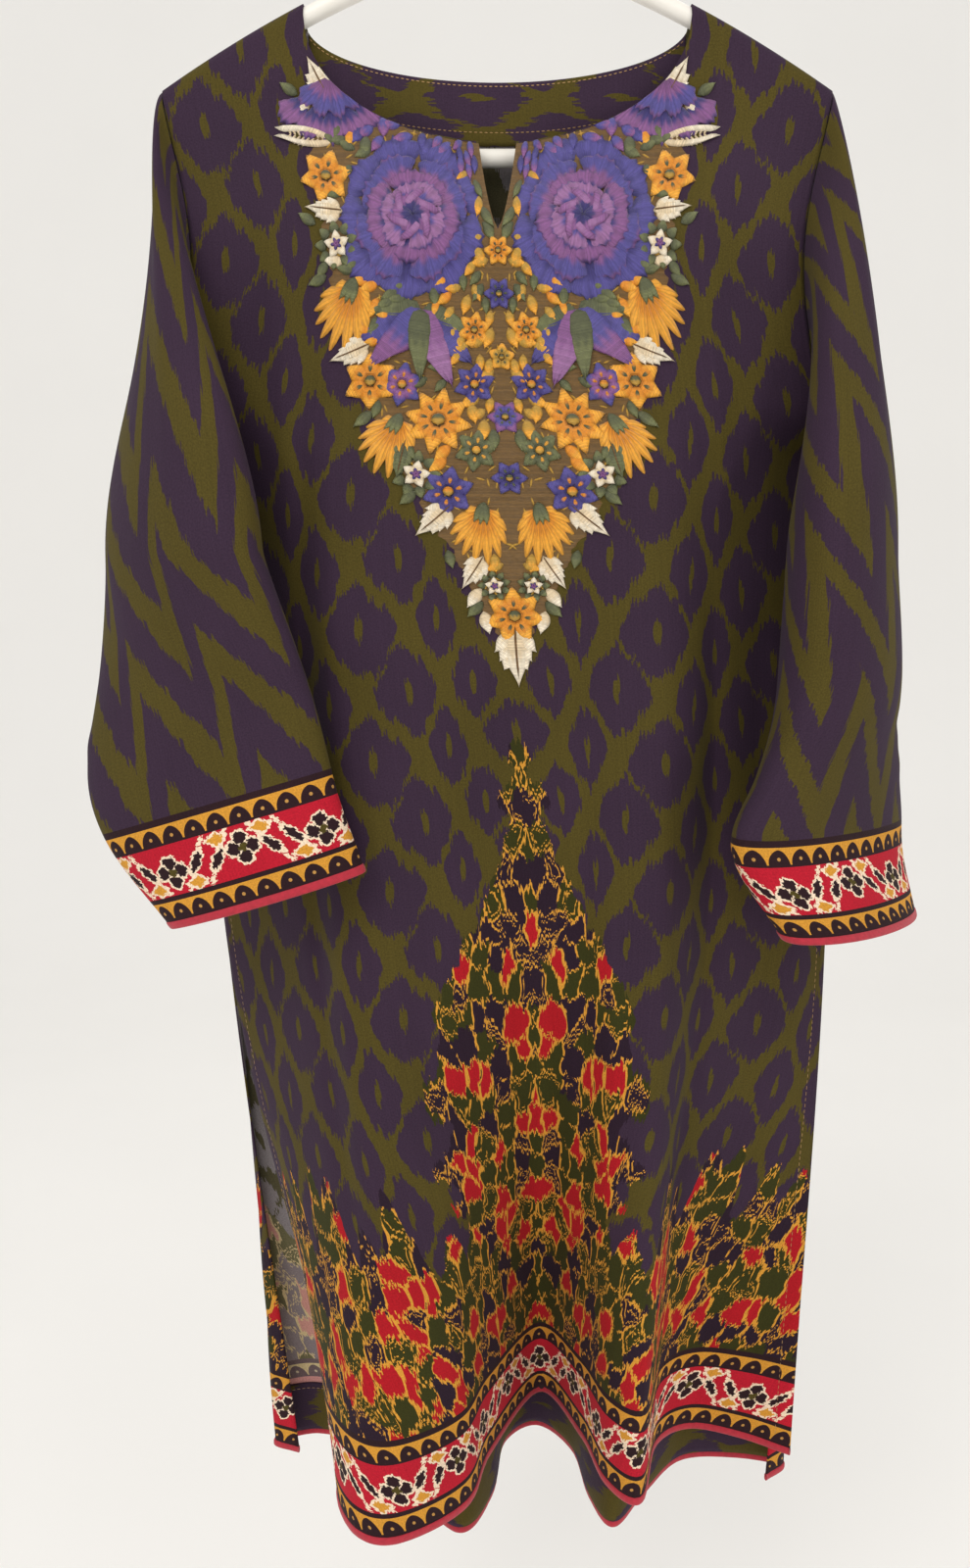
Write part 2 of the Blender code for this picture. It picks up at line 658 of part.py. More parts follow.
def build_hanger():
    """Arms that slope from the apex, round ends, the straight bar, and the hook."""
    arm_x = np.linspace(0.004, ARM_END_X, 11)
    arm_z = NECK_POINT_Z - over_tube(arm_x) - arm_drop(arm_x)
    bar_z = NECK_POINT_Z - BAR_DROP
    end_z = arm_z[-1]
    radius = (end_z - bar_z) / (1 + math.cos(math.atan(ARM_SLOPE + 2 * ARM_CURVE * ARM_END_X)))
    slope = math.atan(ARM_SLOPE + 2 * ARM_CURVE * ARM_END_X)
    centre_x = ARM_END_X - radius * math.sin(slope)
    turn = np.linspace(math.pi / 2 - slope, -math.pi / 2, 8)[1:]
    bend_x = centre_x + radius * np.cos(turn)
    bend_z = bar_z + radius + radius * np.sin(turn)
    bar_x = np.linspace(centre_x, 0, 6)[1:]
    half_x = np.concatenate([arm_x, bend_x, bar_x])
    half_z = np.concatenate([arm_z, bend_z, np.full(len(bar_x), bar_z)])
    right = [(x, 0, z) for x, z in zip(half_x, half_z)]
    left = [(-x, 0, z) for x, z in zip(half_x[-2::-1], half_z[-2::-1])]
    tube("hanger", right + left, TUBE_RADIUS, True, 2, "plastic")
    line_radius = HOOK_INNER_RADIUS + HOOK_WIRE_RADIUS
    apex_z = arm_z[0] + TUBE_RADIUS + SEAM + 0.0002
    centre_z = -HOOK_INNER_RADIUS
    around = np.radians(np.linspace(200, -90, 24))
    bow = [(line_radius * math.cos(a), 0, centre_z + line_radius * math.sin(a)) for a in around]
    hook_line = bow + [(0, 0, z) for z in np.linspace(bow[-1][2] - 0.006, apex_z, 3)]
    tube("hook", hook_line, HOOK_WIRE_RADIUS, False, 2, "plastic")


def main():
    front = Panel(FRONT_FOLDS, FRONT_LENGTH, -1)
    back = Panel(BACK_FOLDS, BACK_LENGTH, 1)
    build_front(front)
    build_back(back)
    build_hem_binding("front_hem_binding", front)
    build_hem_binding("back_hem_binding", back)
    build_yoke(front)
    build_sleeve("right_sleeve", front, back, RIGHT_SLEEVE, -1, RIGHT_HEAD_FALL)
    build_sleeve("left_sleeve", front, back, LEFT_SLEEVE, 1, LEFT_HEAD_FALL)
    build_hanger()


for old in list(bpy.data.objects):
    bpy.data.objects.remove(old)
collection = bpy.data.collections.new("kameez")
bpy.context.scene.collection.children.link(collection)
main()
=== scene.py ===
import math

import bmesh
import bpy
import numpy as np
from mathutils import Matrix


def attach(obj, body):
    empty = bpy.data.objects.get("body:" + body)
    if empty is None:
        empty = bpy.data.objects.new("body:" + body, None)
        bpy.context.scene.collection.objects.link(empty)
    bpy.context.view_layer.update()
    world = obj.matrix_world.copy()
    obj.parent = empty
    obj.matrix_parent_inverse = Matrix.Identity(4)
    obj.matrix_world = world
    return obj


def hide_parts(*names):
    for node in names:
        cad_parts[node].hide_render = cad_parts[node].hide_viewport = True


# A printed kameez with an embroidered yoke, hung on a white tubular hanger. Cloth surfaces
# are worked out from fold tables: each fold has a place across and a depth at a few heights,
# and smooth curves run through them. Metres, front towards -Y, drops measured down from the
# neck points.

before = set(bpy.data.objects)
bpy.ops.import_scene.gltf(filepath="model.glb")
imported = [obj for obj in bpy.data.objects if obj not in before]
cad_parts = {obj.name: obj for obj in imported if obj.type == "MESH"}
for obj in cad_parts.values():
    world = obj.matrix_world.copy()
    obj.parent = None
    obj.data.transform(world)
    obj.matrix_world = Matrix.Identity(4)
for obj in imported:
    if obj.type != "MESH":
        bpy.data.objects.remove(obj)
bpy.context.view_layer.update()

body = dict(
    neckZ=-0.115,
    wall=0.0012,
    gap=0.0003,
    neckHalf=0.117,
    shoulderHalf=0.2045,
    frontNeck=0.082,
    backNeck=0.042,
    slitBottom=0.136,
    slitHalf=0.0115,
    armMiddle=0.15,
    armLow=0.238,
    underarm=0.27,
    sideSlit=0.56,
    frontLength=0.953,
    backLength=1.005,
    narrowing=0.09,
    hangBlend=0.09,
    seamY=0.00045,
    binding=0.005,
)
hanger = dict(
    tube=0.0055, rod=0.004, hookInner=0.022, slope=0.269, curve=0.953, armEnd=0.172, bar=0.088
)
overTubeFlat = hanger["tube"] + body["gap"] + 0.00075


# ---- Colours

# sRGB hex text to linear red, green and blue.
def hexColour(text):
    values = np.array([int(text[i : i + 2], 16) for i in (1, 3, 5)]) / 255
    linear = np.where(values <= 0.04045, values / 12.92, ((values + 0.055) / 1.055) ** 2.4)
    return tuple(float(c) for c in linear)


# ---- Curves and panels

# A cubic through the values whose slopes never overshoot, values along the first axis.
def smoothThrough(knots, values, at):
    knots = np.asarray(knots, float)
    values = np.asarray(values, float)
    at = np.clip(np.asarray(at, float), knots[0], knots[-1])
    step = np.diff(knots)
    rise = np.diff(values, axis=0) / step[:, None]
    slope = np.zeros_like(values)
    sameWay = rise[1:] * rise[:-1] > 0
    mean = 2 * rise[1:] * rise[:-1] / np.where(sameWay, rise[1:] + rise[:-1], 1.0)
    slope[1:-1] = np.where(sameWay, mean, 0.0)
    slope[0] = rise[0]
    slope[-1] = rise[-1]
    i = np.clip(np.searchsorted(knots, at, side="right") - 1, 0, len(step) - 1)
    h = step[i][:, None]
    t = ((at - knots[i]) / step[i])[:, None]
    return (
        values[i] * (2 * t**3 - 3 * t**2 + 1)
        + slope[i] * h * (t**3 - 2 * t**2 + t)
        + values[i + 1] * (3 * t**2 - 2 * t**3)
        + slope[i + 1] * h * (t**3 - t**2)
    )


# Points spread evenly along a smooth curve through plan points, its length, and how far
# along it the given point is.
def roundedLine(points, count, markedPoint):
    at = np.linspace(0, len(points) - 1, 12 * len(points))
    padded = np.vstack([2 * points[0] - points[1], points, 2 * points[-1] - points[-2]])
    i = np.minimum(at.astype(int), len(points) - 2)
    t = (at - i)[:, None]
    a, b, c, d = padded[i], padded[i + 1], padded[i + 2], padded[i + 3]
    line = b + 0.5 * t * (c - a + t * (2 * a - 5 * b + 4 * c - d + t * (3 * (b - c) + d - a)))
    along = np.concatenate([[0], np.cumsum(np.linalg.norm(np.diff(line, axis=0), axis=1))])
    even = np.linspace(0, along[-1], count)
    spread = np.stack([np.interp(even, along, line[:, k]) for k in (0, 1)], axis=1)
    return spread, along[-1], np.interp(markedPoint, at, along)


# How far the cloth over the hanger's arm is below the neck point, at a place across.
def armDrop(x):
    x = np.abs(x)
    level = hanger["slope"] * body["neckHalf"] + hanger["curve"] * body["neckHalf"] ** 2
    return hanger["slope"] * x + hanger["curve"] * x**2 - level


# Vertical distance from the arm's centre line up to the cloth's middle.
def overTube(x):
    slope = hanger["slope"] + 2 * hanger["curve"] * np.abs(x)
    return overTubeFlat * np.sqrt(1 + slope**2)


# Zero to one with level ends.
def ease(t):
    t = np.clip(t, 0, 1)
    return t * t * (3 - 2 * t)


# Soft lines on a surface: each is a bell across a segment, fading at its ends. Places are
# (across, down) pairs in metres.
def creaseHeight(creases, across, down):
    height = np.zeros(np.broadcast(across, down).shape)
    for name, x0, y0, x1, y1, width, depth in creases:
        dx, dy = x1 - x0, y1 - y0
        length = math.hypot(dx, dy)
        t = ((across - x0) * dx + (down - y0) * dy) / length**2
        off = ((across - x0) * dy - (down - y0) * dx) / length
        off = off + 0.3 * width * np.sin(5 * t + x0 * 40)
        taper = np.sin(np.pi * np.clip(t, 0, 1)) ** 0.7
        height += depth * taper * np.exp(-((off / width) ** 2))
    return height


# The hung surface of the front or back, by share across from -1 to 1 and drop.
class Panel:
    def __init__(self, folds, length, side, crown, creases):
        self.length, self.side, self.creases = length, side, creases
        rows = np.array([fold[1:] for fold in folds], float)
        acrossY, chestX, chestY, slitX, slitY, hemX, hemY = rows.T
        spread = chestX / chestX[-1] * body["shoulderHalf"]
        spread[0] = -body["shoulderHalf"]
        nearArm = np.full_like(acrossY, side * overTubeFlat)
        lowX = 0.35 * spread + 0.65 * chestX
        lowY = 0.75 * acrossY + 0.25 * chestY
        stations = (
            0.0, 0.05, body["armMiddle"], body["armLow"], body["underarm"], body["sideSlit"],
            length,
        )
        self.drops = np.linspace(0, length, 240)
        xs = smoothThrough(
            stations, (spread, spread, spread, lowX, chestX, slitX, hemX), self.drops
        )
        ys = smoothThrough(
            stations, (nearArm, nearArm, acrossY, lowY, chestY, slitY, hemY), self.drops
        )
        seam = (self.drops > body["underarm"]) & (self.drops < body["sideSlit"])
        ends = (body["underarm"], body["sideSlit"])
        for edge in (0, -1):
            xs[seam, edge] = np.interp(self.drops[seam], ends, (chestX[edge], slitX[edge]))
            ys[seam, edge] = np.interp(self.drops[seam], ends, (chestY[edge], slitY[edge]))
        made = [roundedLine(np.stack(row, axis=1), 321, crown) for row in zip(xs, ys)]
        self.plan = np.array([m[0] for m in made])
        self.widths = np.array([m[1] for m in made])
        middle = np.array([m[2] for m in made]) - self.widths / 2
        self.middle = middle * ease((self.drops - 0.30) / 0.25)

    # Position in the cut: across from the print's centre line, and height above the hem.
    def cut(self, share, drop):
        width = np.interp(drop, self.drops, self.widths)
        middle = np.interp(drop, self.drops, self.middle)
        return share * width / 2 - middle, self.length - drop

    def at(self, share, drop):
        share, drop = np.broadcast_arrays(share, drop)
        p = (share + 1) / 2 * (self.plan.shape[1] - 1)
        q = np.clip(drop / self.length, 0, 1) * (len(self.drops) - 1)
        i = np.clip(p.astype(int), 0, self.plan.shape[1] - 2)
        j = np.clip(q.astype(int), 0, len(self.drops) - 2)
        p, q = (p - i)[..., None], (q - j)[..., None]
        plan = (
            self.plan[j, i] * (1 - p) * (1 - q)
            + self.plan[j, i + 1] * p * (1 - q)
            + self.plan[j + 1, i] * (1 - p) * q
            + self.plan[j + 1, i + 1] * p * q
        )
        rest = (drop - 0.03) / (body["underarm"] - 0.03)
        bump = np.sin(np.pi * np.clip(rest, 0, 1)) ** 2
        x = plan[..., 0] * (1 - body["narrowing"] * bump)
        below = np.maximum(drop - armDrop(x), 0)
        over = np.clip(below / overTube(x), 0, 1)
        hug = np.maximum(overTubeFlat * np.sqrt(1 - (1 - over) ** 2), body["seamY"])
        y = self.side * hug
        y = y + (plan[..., 1] - self.side * overTubeFlat) * ease(below / body["hangBlend"])
        lift = creaseHeight(self.creases, share * 0.21, drop) * ease(below / 0.05)
        edge = ease((1 - np.abs(share)) / 0.08)
        return np.stack([x, y + self.side * lift * edge, body["neckZ"] - drop], axis=-1)

    # Outward unit normals, from small steps across and down.
    def normal(self, share, drop):
        e = 0.004
        across = self.at(share + e, drop) - self.at(share - e, drop)
        down = self.at(share, drop + e) - self.at(share, drop - e)
        n = np.cross(across, down) * self.side
        return n / np.maximum(np.linalg.norm(n, axis=-1, keepdims=True), 1e-12)

    def lifted(self, share, drop, lift):
        share, drop = np.broadcast_arrays(share, drop)
        return self.at(share, drop) + self.normal(share, drop) * np.asarray(lift)[..., None]


# Columns: fold, y across the armholes, then x and y at the chest, side slit and hem.
frontFolds = (
    ("right slit edge", -0.016, -0.200, 0.0110, -0.189, 0.0455, -0.100, 0.010),
    ("right hollow", -0.020, -0.160, -0.0120, -0.153, 0.0100, -0.106, -0.034),
    ("right ridge", -0.026, -0.119, -0.0370, -0.107, -0.0380, -0.090, -0.074),
    ("first lobe", -0.030, -0.087, -0.0450, -0.076, -0.0550, -0.062, -0.081),
    ("first lobe side", -0.031, -0.054, -0.0460, -0.042, -0.0500, -0.020, -0.046),
    ("arch side", -0.031, -0.022, -0.0450, -0.010, -0.0380, -0.004, 0.012),
    ("arch crown", -0.031, 0.010, -0.0440, 0.022, -0.0270, 0.034, 0.090),
    ("arch far side", -0.031, 0.042, -0.0445, 0.052, -0.0310, 0.062, 0.032),
    ("second lobe side", -0.031, 0.075, -0.0450, 0.078, -0.0450, 0.075, -0.022),
    ("second lobe", -0.030, 0.107, -0.0420, 0.105, -0.0480, 0.096, -0.042),
    ("second arch side", -0.026, 0.138, -0.0280, 0.130, -0.0220, 0.113, 0.020),
    ("second arch", -0.023, 0.166, -0.0140, 0.160, -0.0060, 0.140, 0.042),
    ("left hollow", -0.020, 0.188, 0.0030, 0.198, 0.0080, 0.175, 0.031),
    ("left slit edge", -0.016, 0.203, 0.0137, 0.224, 0.0280, 0.207, 0.010),
)
backFolds = (
    ("right slit edge", 0.018, -0.200, 0.0131, -0.189, 0.0476, -0.150, 0.092),
    ("right curl", 0.020, -0.188, 0.0230, -0.180, 0.0570, -0.170, 0.103),
    ("right turn", 0.022, -0.160, 0.0350, -0.157, 0.0580, -0.138, 0.117),
    ("right flank", 0.024, -0.128, 0.0330, -0.124, 0.0470, -0.100, 0.098),
    ("first lobe flank", 0.025, -0.096, 0.0310, -0.088, 0.0220, -0.062, 0.046),
    ("first lobe", 0.025, -0.064, 0.0300, -0.054, 0.0020, -0.025, 0.000),
    ("arch side", 0.025, -0.034, 0.0300, -0.020, 0.0100, -0.003, 0.040),
    ("arch crown edge", 0.025, -0.006, 0.0300, 0.004, 0.0210, 0.007, 0.104),
    ("arch crown", 0.025, 0.022, 0.0300, 0.030, 0.0300, 0.034, 0.128),
    ("arch far edge", 0.025, 0.050, 0.0300, 0.054, 0.0270, 0.060, 0.094),
    ("arch far side", 0.025, 0.078, 0.0300, 0.075, 0.0160, 0.069, 0.038),
    ("second lobe", 0.024, 0.104, 0.0310, 0.096, 0.0110, 0.083, 0.006),
    ("second lobe flank", 0.023, 0.128, 0.0330, 0.120, 0.0250, 0.108, 0.042),
    ("second arch", 0.022, 0.150, 0.0370, 0.148, 0.0380, 0.140, 0.082),
    ("left flank", 0.020, 0.172, 0.0360, 0.182, 0.0400, 0.182, 0.086),
    ("left curl", 0.018, 0.192, 0.0280, 0.211, 0.0360, 0.217, 0.075),
    ("left slit edge", 0.016, 0.203, 0.0158, 0.224, 0.0301, 0.201, 0.058),
)
# Columns: crease, across and down where it starts, the same where it ends, width, height.
frontCreases = (
    ("right shoulder fall", -0.165, 0.07, -0.118, 0.34, 0.010, 0.0016),
    ("left shoulder fall", 0.160, 0.07, 0.122, 0.36, 0.010, 0.0016),
    ("right flank crease", -0.116, 0.22, -0.122, 0.86, 0.009, -0.0042),
    ("right flank ridge", -0.098, 0.26, -0.106, 0.84, 0.011, 0.0026),
    ("left flank crease", 0.124, 0.34, 0.128, 0.88, 0.008, -0.0050),
    ("left flank ridge", 0.106, 0.36, 0.112, 0.88, 0.012, 0.0028),
    ("yoke tip dip", -0.020, 0.425, 0.022, 0.428, 0.007, -0.0012),
    ("waist fall", -0.050, 0.44, -0.060, 0.80, 0.012, -0.0018),
    ("centre fall", 0.020, 0.50, 0.012, 0.90, 0.010, -0.0022),
    ("second waist fall", 0.060, 0.46, 0.072, 0.86, 0.010, -0.0024),
    ("side fall", 0.165, 0.34, 0.160, 0.74, 0.009, -0.0018),
    ("right arm pull", -0.185, 0.20, -0.120, 0.29, 0.008, 0.0014),
    ("left arm pull", 0.185, 0.21, 0.118, 0.31, 0.008, 0.0013),
)
backCreases = (
    ("right shoulder fall", -0.150, 0.08, -0.110, 0.40, 0.011, 0.0018),
    ("left shoulder fall", 0.155, 0.08, 0.118, 0.38, 0.011, 0.0018),
    ("right long fall", -0.090, 0.24, -0.100, 0.86, 0.010, -0.0030),
    ("middle long fall", -0.012, 0.30, 0.000, 0.90, 0.011, -0.0026),
    ("left long fall", 0.082, 0.26, 0.090, 0.88, 0.010, -0.0032),
    ("neck dip", -0.055, 0.075, 0.060, 0.078, 0.009, -0.0010),
    ("waist fall", 0.040, 0.36, 0.050, 0.80, 0.012, 0.0020),
)
front = Panel(frontFolds, body["frontLength"], -1, 6, frontCreases)
back = Panel(backFolds, body["backLength"], 1, 8, backCreases)


# ---- Meshes

# Quads of a grid as indices of its corners, and, for a closed grid, as indices of its own
# coordinates, which have one more column.
def gridQuads(rows, columns, closed=False):
    r, c = np.meshgrid(
        np.arange(rows - 1), np.arange(columns if closed else columns - 1), indexing="ij"
    )
    r, c = r.ravel(), c.ravel()
    after = (c + 1) % columns if closed else c + 1
    quads = np.stack(
        [r * columns + c, r * columns + after, (r + 1) * columns + after, (r + 1) * columns + c],
        axis=1,
    )
    wide = columns + 1 if closed else columns
    corners = np.stack(
        [r * wide + c, r * wide + c + 1, (r + 1) * wide + c + 1, (r + 1) * wide + c], axis=1
    )
    return quads, corners


# A mesh object from arrays. Coordinates go in a UV map named cut, colours in an attribute
# named thread.
def meshObject(name, points, faces, cornerCut=None, pointColour=None):
    mesh = bpy.data.meshes.new(name)
    mesh.from_pydata(points.tolist(), [], faces.tolist())
    mesh.shade_smooth()
    if cornerCut is not None:
        layer = mesh.uv_layers.new(name="cut")
        layer.data.foreach_set("uv", np.asarray(cornerCut, float).ravel())
    if pointColour is not None:
        layer = mesh.color_attributes.new("thread", "FLOAT_COLOR", "POINT")
        colours = np.concatenate([pointColour, np.ones((len(points), 1))], axis=1)
        layer.data.foreach_set("color", colours.ravel())
    made = bpy.data.objects.new(name, mesh)
    bpy.context.scene.collection.objects.link(made)
    return made


# Drops the cells that aren't used and welds points that coincide.
def keptCells(points, quads, corners, cells, cut):
    quads, corners = quads[cells], corners[cells]
    unique, back = np.unique(np.round(points[quads.ravel()], 6), axis=0, return_inverse=True)
    return unique, back.reshape(-1, 4), cut[corners.ravel()]


# Gives a sheet its thickness. Its other side takes the second material.
def thicken(thing, wall, otherSide=True):
    solid = thing.modifiers.new("wall", "SOLIDIFY")
    solid.thickness = wall
    solid.offset = 0
    solid.use_even_offset = False
    solid.material_offset = 1 if otherSide else 0
    solid.material_offset_rim = 0
    return thing


def finished(thing, materials, slot, *nodes):
    for material in materials:
        thing.data.materials.append(material)
    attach(thing, "root")
    if nodes:
        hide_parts(*nodes)
    return thing


# Drop of the neckline, an ellipse that ends beside the arm, or of the shoulder seam.
def topEdge(share, neckDrop):
    x = np.abs(share) * body["shoulderHalf"]
    inside = np.sqrt(np.clip(1 - (x / body["neckHalf"]) ** 2, 0, 1))
    beside = float(overTube(body["neckHalf"]))
    return np.where(
        x < body["neckHalf"] - 1e-6, beside + (neckDrop - beside) * inside, armDrop(x)
    )


# Shares from centre to side, closer together where the neckline is steep.
def columnShares(neckColumns, sideColumns):
    turn = np.linspace(0, 1, neckColumns + 1)
    neck = (0.5 * np.sin(turn * math.pi / 2) + 0.5 * turn)
    neck = neck * body["neckHalf"] / body["shoulderHalf"]
    return np.concatenate([neck, np.linspace(neck[-1], 1, sideColumns + 1)[1:]])


# Half the width of the neck slit, which narrows to nothing at its bottom.
def slitHalfWidth(drop):
    left = (body["slitBottom"] - drop) / (body["slitBottom"] - body["frontNeck"])
    return body["slitHalf"] * np.clip(left, 0, 1) ** 0.6


# How far the slit pushes a place aside: its half width, fading over the next 30 mm.
def slitShift(x, drop):
    side = np.where(x < 0, -1.0, 1.0)
    return side * slitHalfWidth(drop) * np.clip(1 - np.abs(x) / 0.030, 0, 1)


# One side of a panel, from its middle to its side, with rows that wrap the arm first.
def halfPanel(panel, side, neckDrop, counts, slit):
    neckColumns, sideColumns, rowCount = counts
    shares = columnShares(neckColumns, sideColumns)
    x = shares * body["shoulderHalf"]
    top = topEdge(shares, neckDrop)
    turns = 1 - np.cos(np.linspace(0, math.pi / 2, 6))[:, None]
    wrap = np.where(x < body["neckHalf"] - 1e-6, 0.0004 * np.arange(-5, 1)[:, None],
                    overTube(x) * turns)
    start = top + wrap[-1]
    end = panel.length - body["binding"] * 0.5
    down = np.linspace(0, 1, rowCount)[1:, None]
    if slit:
        level = (body["slitBottom"] - start[0]) / (end - start[0])
        near = max(1, round(level * (rowCount - 1))) / (rowCount - 1)
        bent = np.where(down <= near, down * level / near,
                        level + (down - near) * (1 - level) / (1 - near))
        down = down + (bent - down) * np.clip(1 - x / 0.06, 0, 1)
    drops = np.concatenate([top + wrap, start + (end - start) * down])
    grid = panel.at(side * shares[None, :], drops)
    if slit:
        push = slitHalfWidth(drops) * np.clip(1 - x / 0.030, 0, 1)
        grid[..., 0] += side * push
    cutX, cutY = panel.cut(side * shares[None, :], drops)
    cells = np.ones((drops.shape[0] - 1, len(shares) - 1), bool)
    cells[:5, :neckColumns] = False
    return grid, np.stack([cutX, cutY], axis=-1), cells


# Both sides of a panel, welded along the middle. The front's faces look outwards.
def wholePanel(name, panel, neckDrop, counts, slit):
    points, quads, corners, cuts, used = [], [], [], [], []
    count = 0
    for side in (-1, 1):
        grid, cut, cells = halfPanel(panel, side, neckDrop, counts, slit)
        q, c = gridQuads(*grid.shape[:2])
        if side * panel.side < 0:
            q, c = q[:, ::-1], c[:, ::-1]
        points.append(grid.reshape(-1, 3))
        cuts.append(cut.reshape(-1, 2))
        quads.append(q + count)
        corners.append(c + count)
        used.append(cells.ravel())
        count += grid.shape[0] * grid.shape[1]
    made = keptCells(
        np.concatenate(points), np.concatenate(quads), np.concatenate(corners),
        np.concatenate(used), np.concatenate(cuts),
    )
    return meshObject(name, *made)


# ---- Nodes

# Adds a node, sets its own settings, and sets or links its inputs by name or number.
def addNode(tree, kind, inputs=(), **settings):
    node = tree.nodes.new(kind)
    for key, value in settings.items():
        setattr(node, key, value)
    for key, value in dict(inputs).items():
        if isinstance(value, Field):
            value = value.socket
        if isinstance(value, bpy.types.NodeSocket):
            tree.links.new(value, node.inputs[key])
        else:
            node.inputs[key].default_value = value
    return node


# A number that varies over the surface, so that formulas can be written as sums.
class Field:
    def __init__(self, tree, socket):
        self.tree, self.socket = tree, socket

    def op(self, operation, *others, clamp=False):
        inputs = {0: self}
        inputs.update({i + 1: other for i, other in enumerate(others)})
        node = addNode(
            self.tree, "ShaderNodeMath", inputs, operation=operation, use_clamp=clamp
        )
        return Field(self.tree, node.outputs[0])

    def __add__(self, other):
        return self.op("ADD", other)

    def __sub__(self, other):
        return self.op("SUBTRACT", other)

    def __mul__(self, other):
        return self.op("MULTIPLY", other)

    def __truediv__(self, other):
        return self.op("DIVIDE", other)

    __radd__ = __add__
    __rmul__ = __mul__

    def __rsub__(self, other):
        return (self * -1.0) + other

    def abs(self):
        return self.op("ABSOLUTE")

    def floor(self):
        return self.op("FLOOR")

    def sin(self):
        return self.op("SINE")

    def power(self, n):
        return self.op("POWER", n)

    def root(self):
        return self.op("SQRT")

    def least(self, other):
        return self.op("MINIMUM", other)

    def most(self, other):
        return self.op("MAXIMUM", other)

    def below(self, other):
        return self.op("LESS_THAN", other)

    def above(self, other):
        return self.op("GREATER_THAN", other)

    # Distance to the middle of the nearest repeat.
    def repeated(self, pitch):
        return self.op("PINGPONG", pitch / 2)

    # Place within a repeat, from minus half to plus half of the pitch.
    def wrapped(self, pitch):
        return self.op("WRAP", pitch / 2, -pitch / 2)

    def clamped(self):
        return self.op("ADD", 0.0, clamp=True)


def cutFields(tree):
    place = addNode(tree, "ShaderNodeUVMap", uv_map="cut")
    parts = addNode(tree, "ShaderNodeSeparateXYZ", {0: place.outputs[0]})
    mm = [Field(tree, parts.outputs[i]) * 1000.0 for i in (0, 1)]
    return mm[0], mm[1]


# A random number from 0 to 1 for each whole number.
def randomOf(field, seed=0.0):
    node = addNode(
        field.tree, "ShaderNodeTexWhiteNoise", {"W": field + seed}, noise_dimensions="1D"
    )
    return Field(field.tree, node.outputs["Value"])


def vectorOf(tree, x, y, z=0.0):
    node = addNode(tree, "ShaderNodeCombineXYZ", {0: x, 1: y, 2: z})
    return node.outputs[0]


# Smooth noise from 0 to 1 at a scale in mm.
def noiseOf(tree, x, y, scale, detail=2.0, seed=0.0):
    node = addNode(
        tree,
        "ShaderNodeTexNoise",
        {"Vector": vectorOf(tree, x, y, seed), "Scale": 1.0 / scale, "Detail": detail},
    )
    return Field(tree, node.outputs["Factor"] if "Factor" in node.outputs else node.outputs[0])


# One colour over another where the mask is one.
def mixed(tree, mask, under, over):
    node = addNode(tree, "ShaderNodeMix", data_type="RGBA")
    for index, value in ((0, mask), (6, under), (7, over)):
        if isinstance(value, Field):
            value = value.socket
        if isinstance(value, bpy.types.NodeSocket):
            tree.links.new(value, node.inputs[index])
        elif index:
            node.inputs[index].default_value = (*value, 1)
        else:
            node.inputs[index].default_value = value
    return node.outputs[2]


ink = {
    "aubergine": hexColour("#372739"),
    "olive": hexColour("#4d4318"),
    "plum": hexColour("#2a171c"),
    "crimson": hexColour("#b5182c"),
    "red": hexColour("#a8141f"),
    "gold": hexColour("#cf9234"),
    "cream": hexColour("#ecd6bb"),
    "leaf": hexColour("#33330f"),
    "dusk": hexColour("#271826"),
    "bead": hexColour("#b98a4a"),
}
# The wrong side of the print: paler, with the dark shapes greyer than the net.
inkBehind = {
    "aubergine": hexColour("#8a8385"),
    "olive": hexColour("#57523a"),
    "plum": hexColour("#6d5c5e"),
    "crimson": hexColour("#c98f8a"),
    "red": hexColour("#c58f84"),
    "gold": hexColour("#cdb98c"),
    "cream": hexColour("#e6d9c8"),
    "leaf": hexColour("#6c674a"),
    "dusk": hexColour("#857a7c"),
    "bead": hexColour("#c4b596"),
}


# Height moved up or down by threads about 1.5 mm wide, as in cloth dyed before weaving.
def feathered(u, h, reach):
    coarse = randomOf((u / 2.1).floor(), 3.1) - 0.5
    fine = randomOf((u / 0.75).floor(), 7.7) - 0.5
    return h + coarse * reach + fine * (reach * 0.75)


# Lattice of rounded lozenges with small eyes, mirrored about the middle. The columns are 24,
# 19, 21 and 27 mm apart over and over, each half a step below the last, and the lozenges of
# the second and third are narrower.
def latticeMasks(u, h):
    away = u.abs()
    turn = away * (2 * math.pi / 91.0)
    even = away - turn.sin() * 2.64 + (1.0 - (turn + math.pi / 2).sin()) * 1.27
    column = (even / 22.75).floor()
    high = feathered(u, h, 7.0)
    shape = eye = None
    for step in (0.0, 1.0):
        n = column + step
        phase = n * (math.pi / 2)
        wide = (phase + math.pi / 2).sin() * 2.6 - phase.sin() * 1.6 + 17.0
        tall = (n * 2.6).least(8.0) + 19.5
        pitch = (n * 3.4 + 71.0).least(80.5)
        x = (even - n * 22.75).abs()
        y = (high + n * 5.0 - 516.0) / pitch + n * 0.5
        y = y.wrapped(1.0).abs() * pitch
        lozenge = (x / wide).power(1.4) + (y / tall).power(1.3)
        heart = (x / 2.3).power(2.0) + (y / 7.5).power(2.0)
        shape = lozenge if shape is None else shape.least(lozenge)
        eye = heart if eye is None else eye.least(heart)
    return shape.below(1.0), eye.below(1.0)


def latticeColour(tree, u, h, ink):
    shape, eye = latticeMasks(u, h)
    colour = mixed(tree, shape, ink["olive"], ink["aubergine"])
    return mixed(tree, eye, colour, ink["olive"])


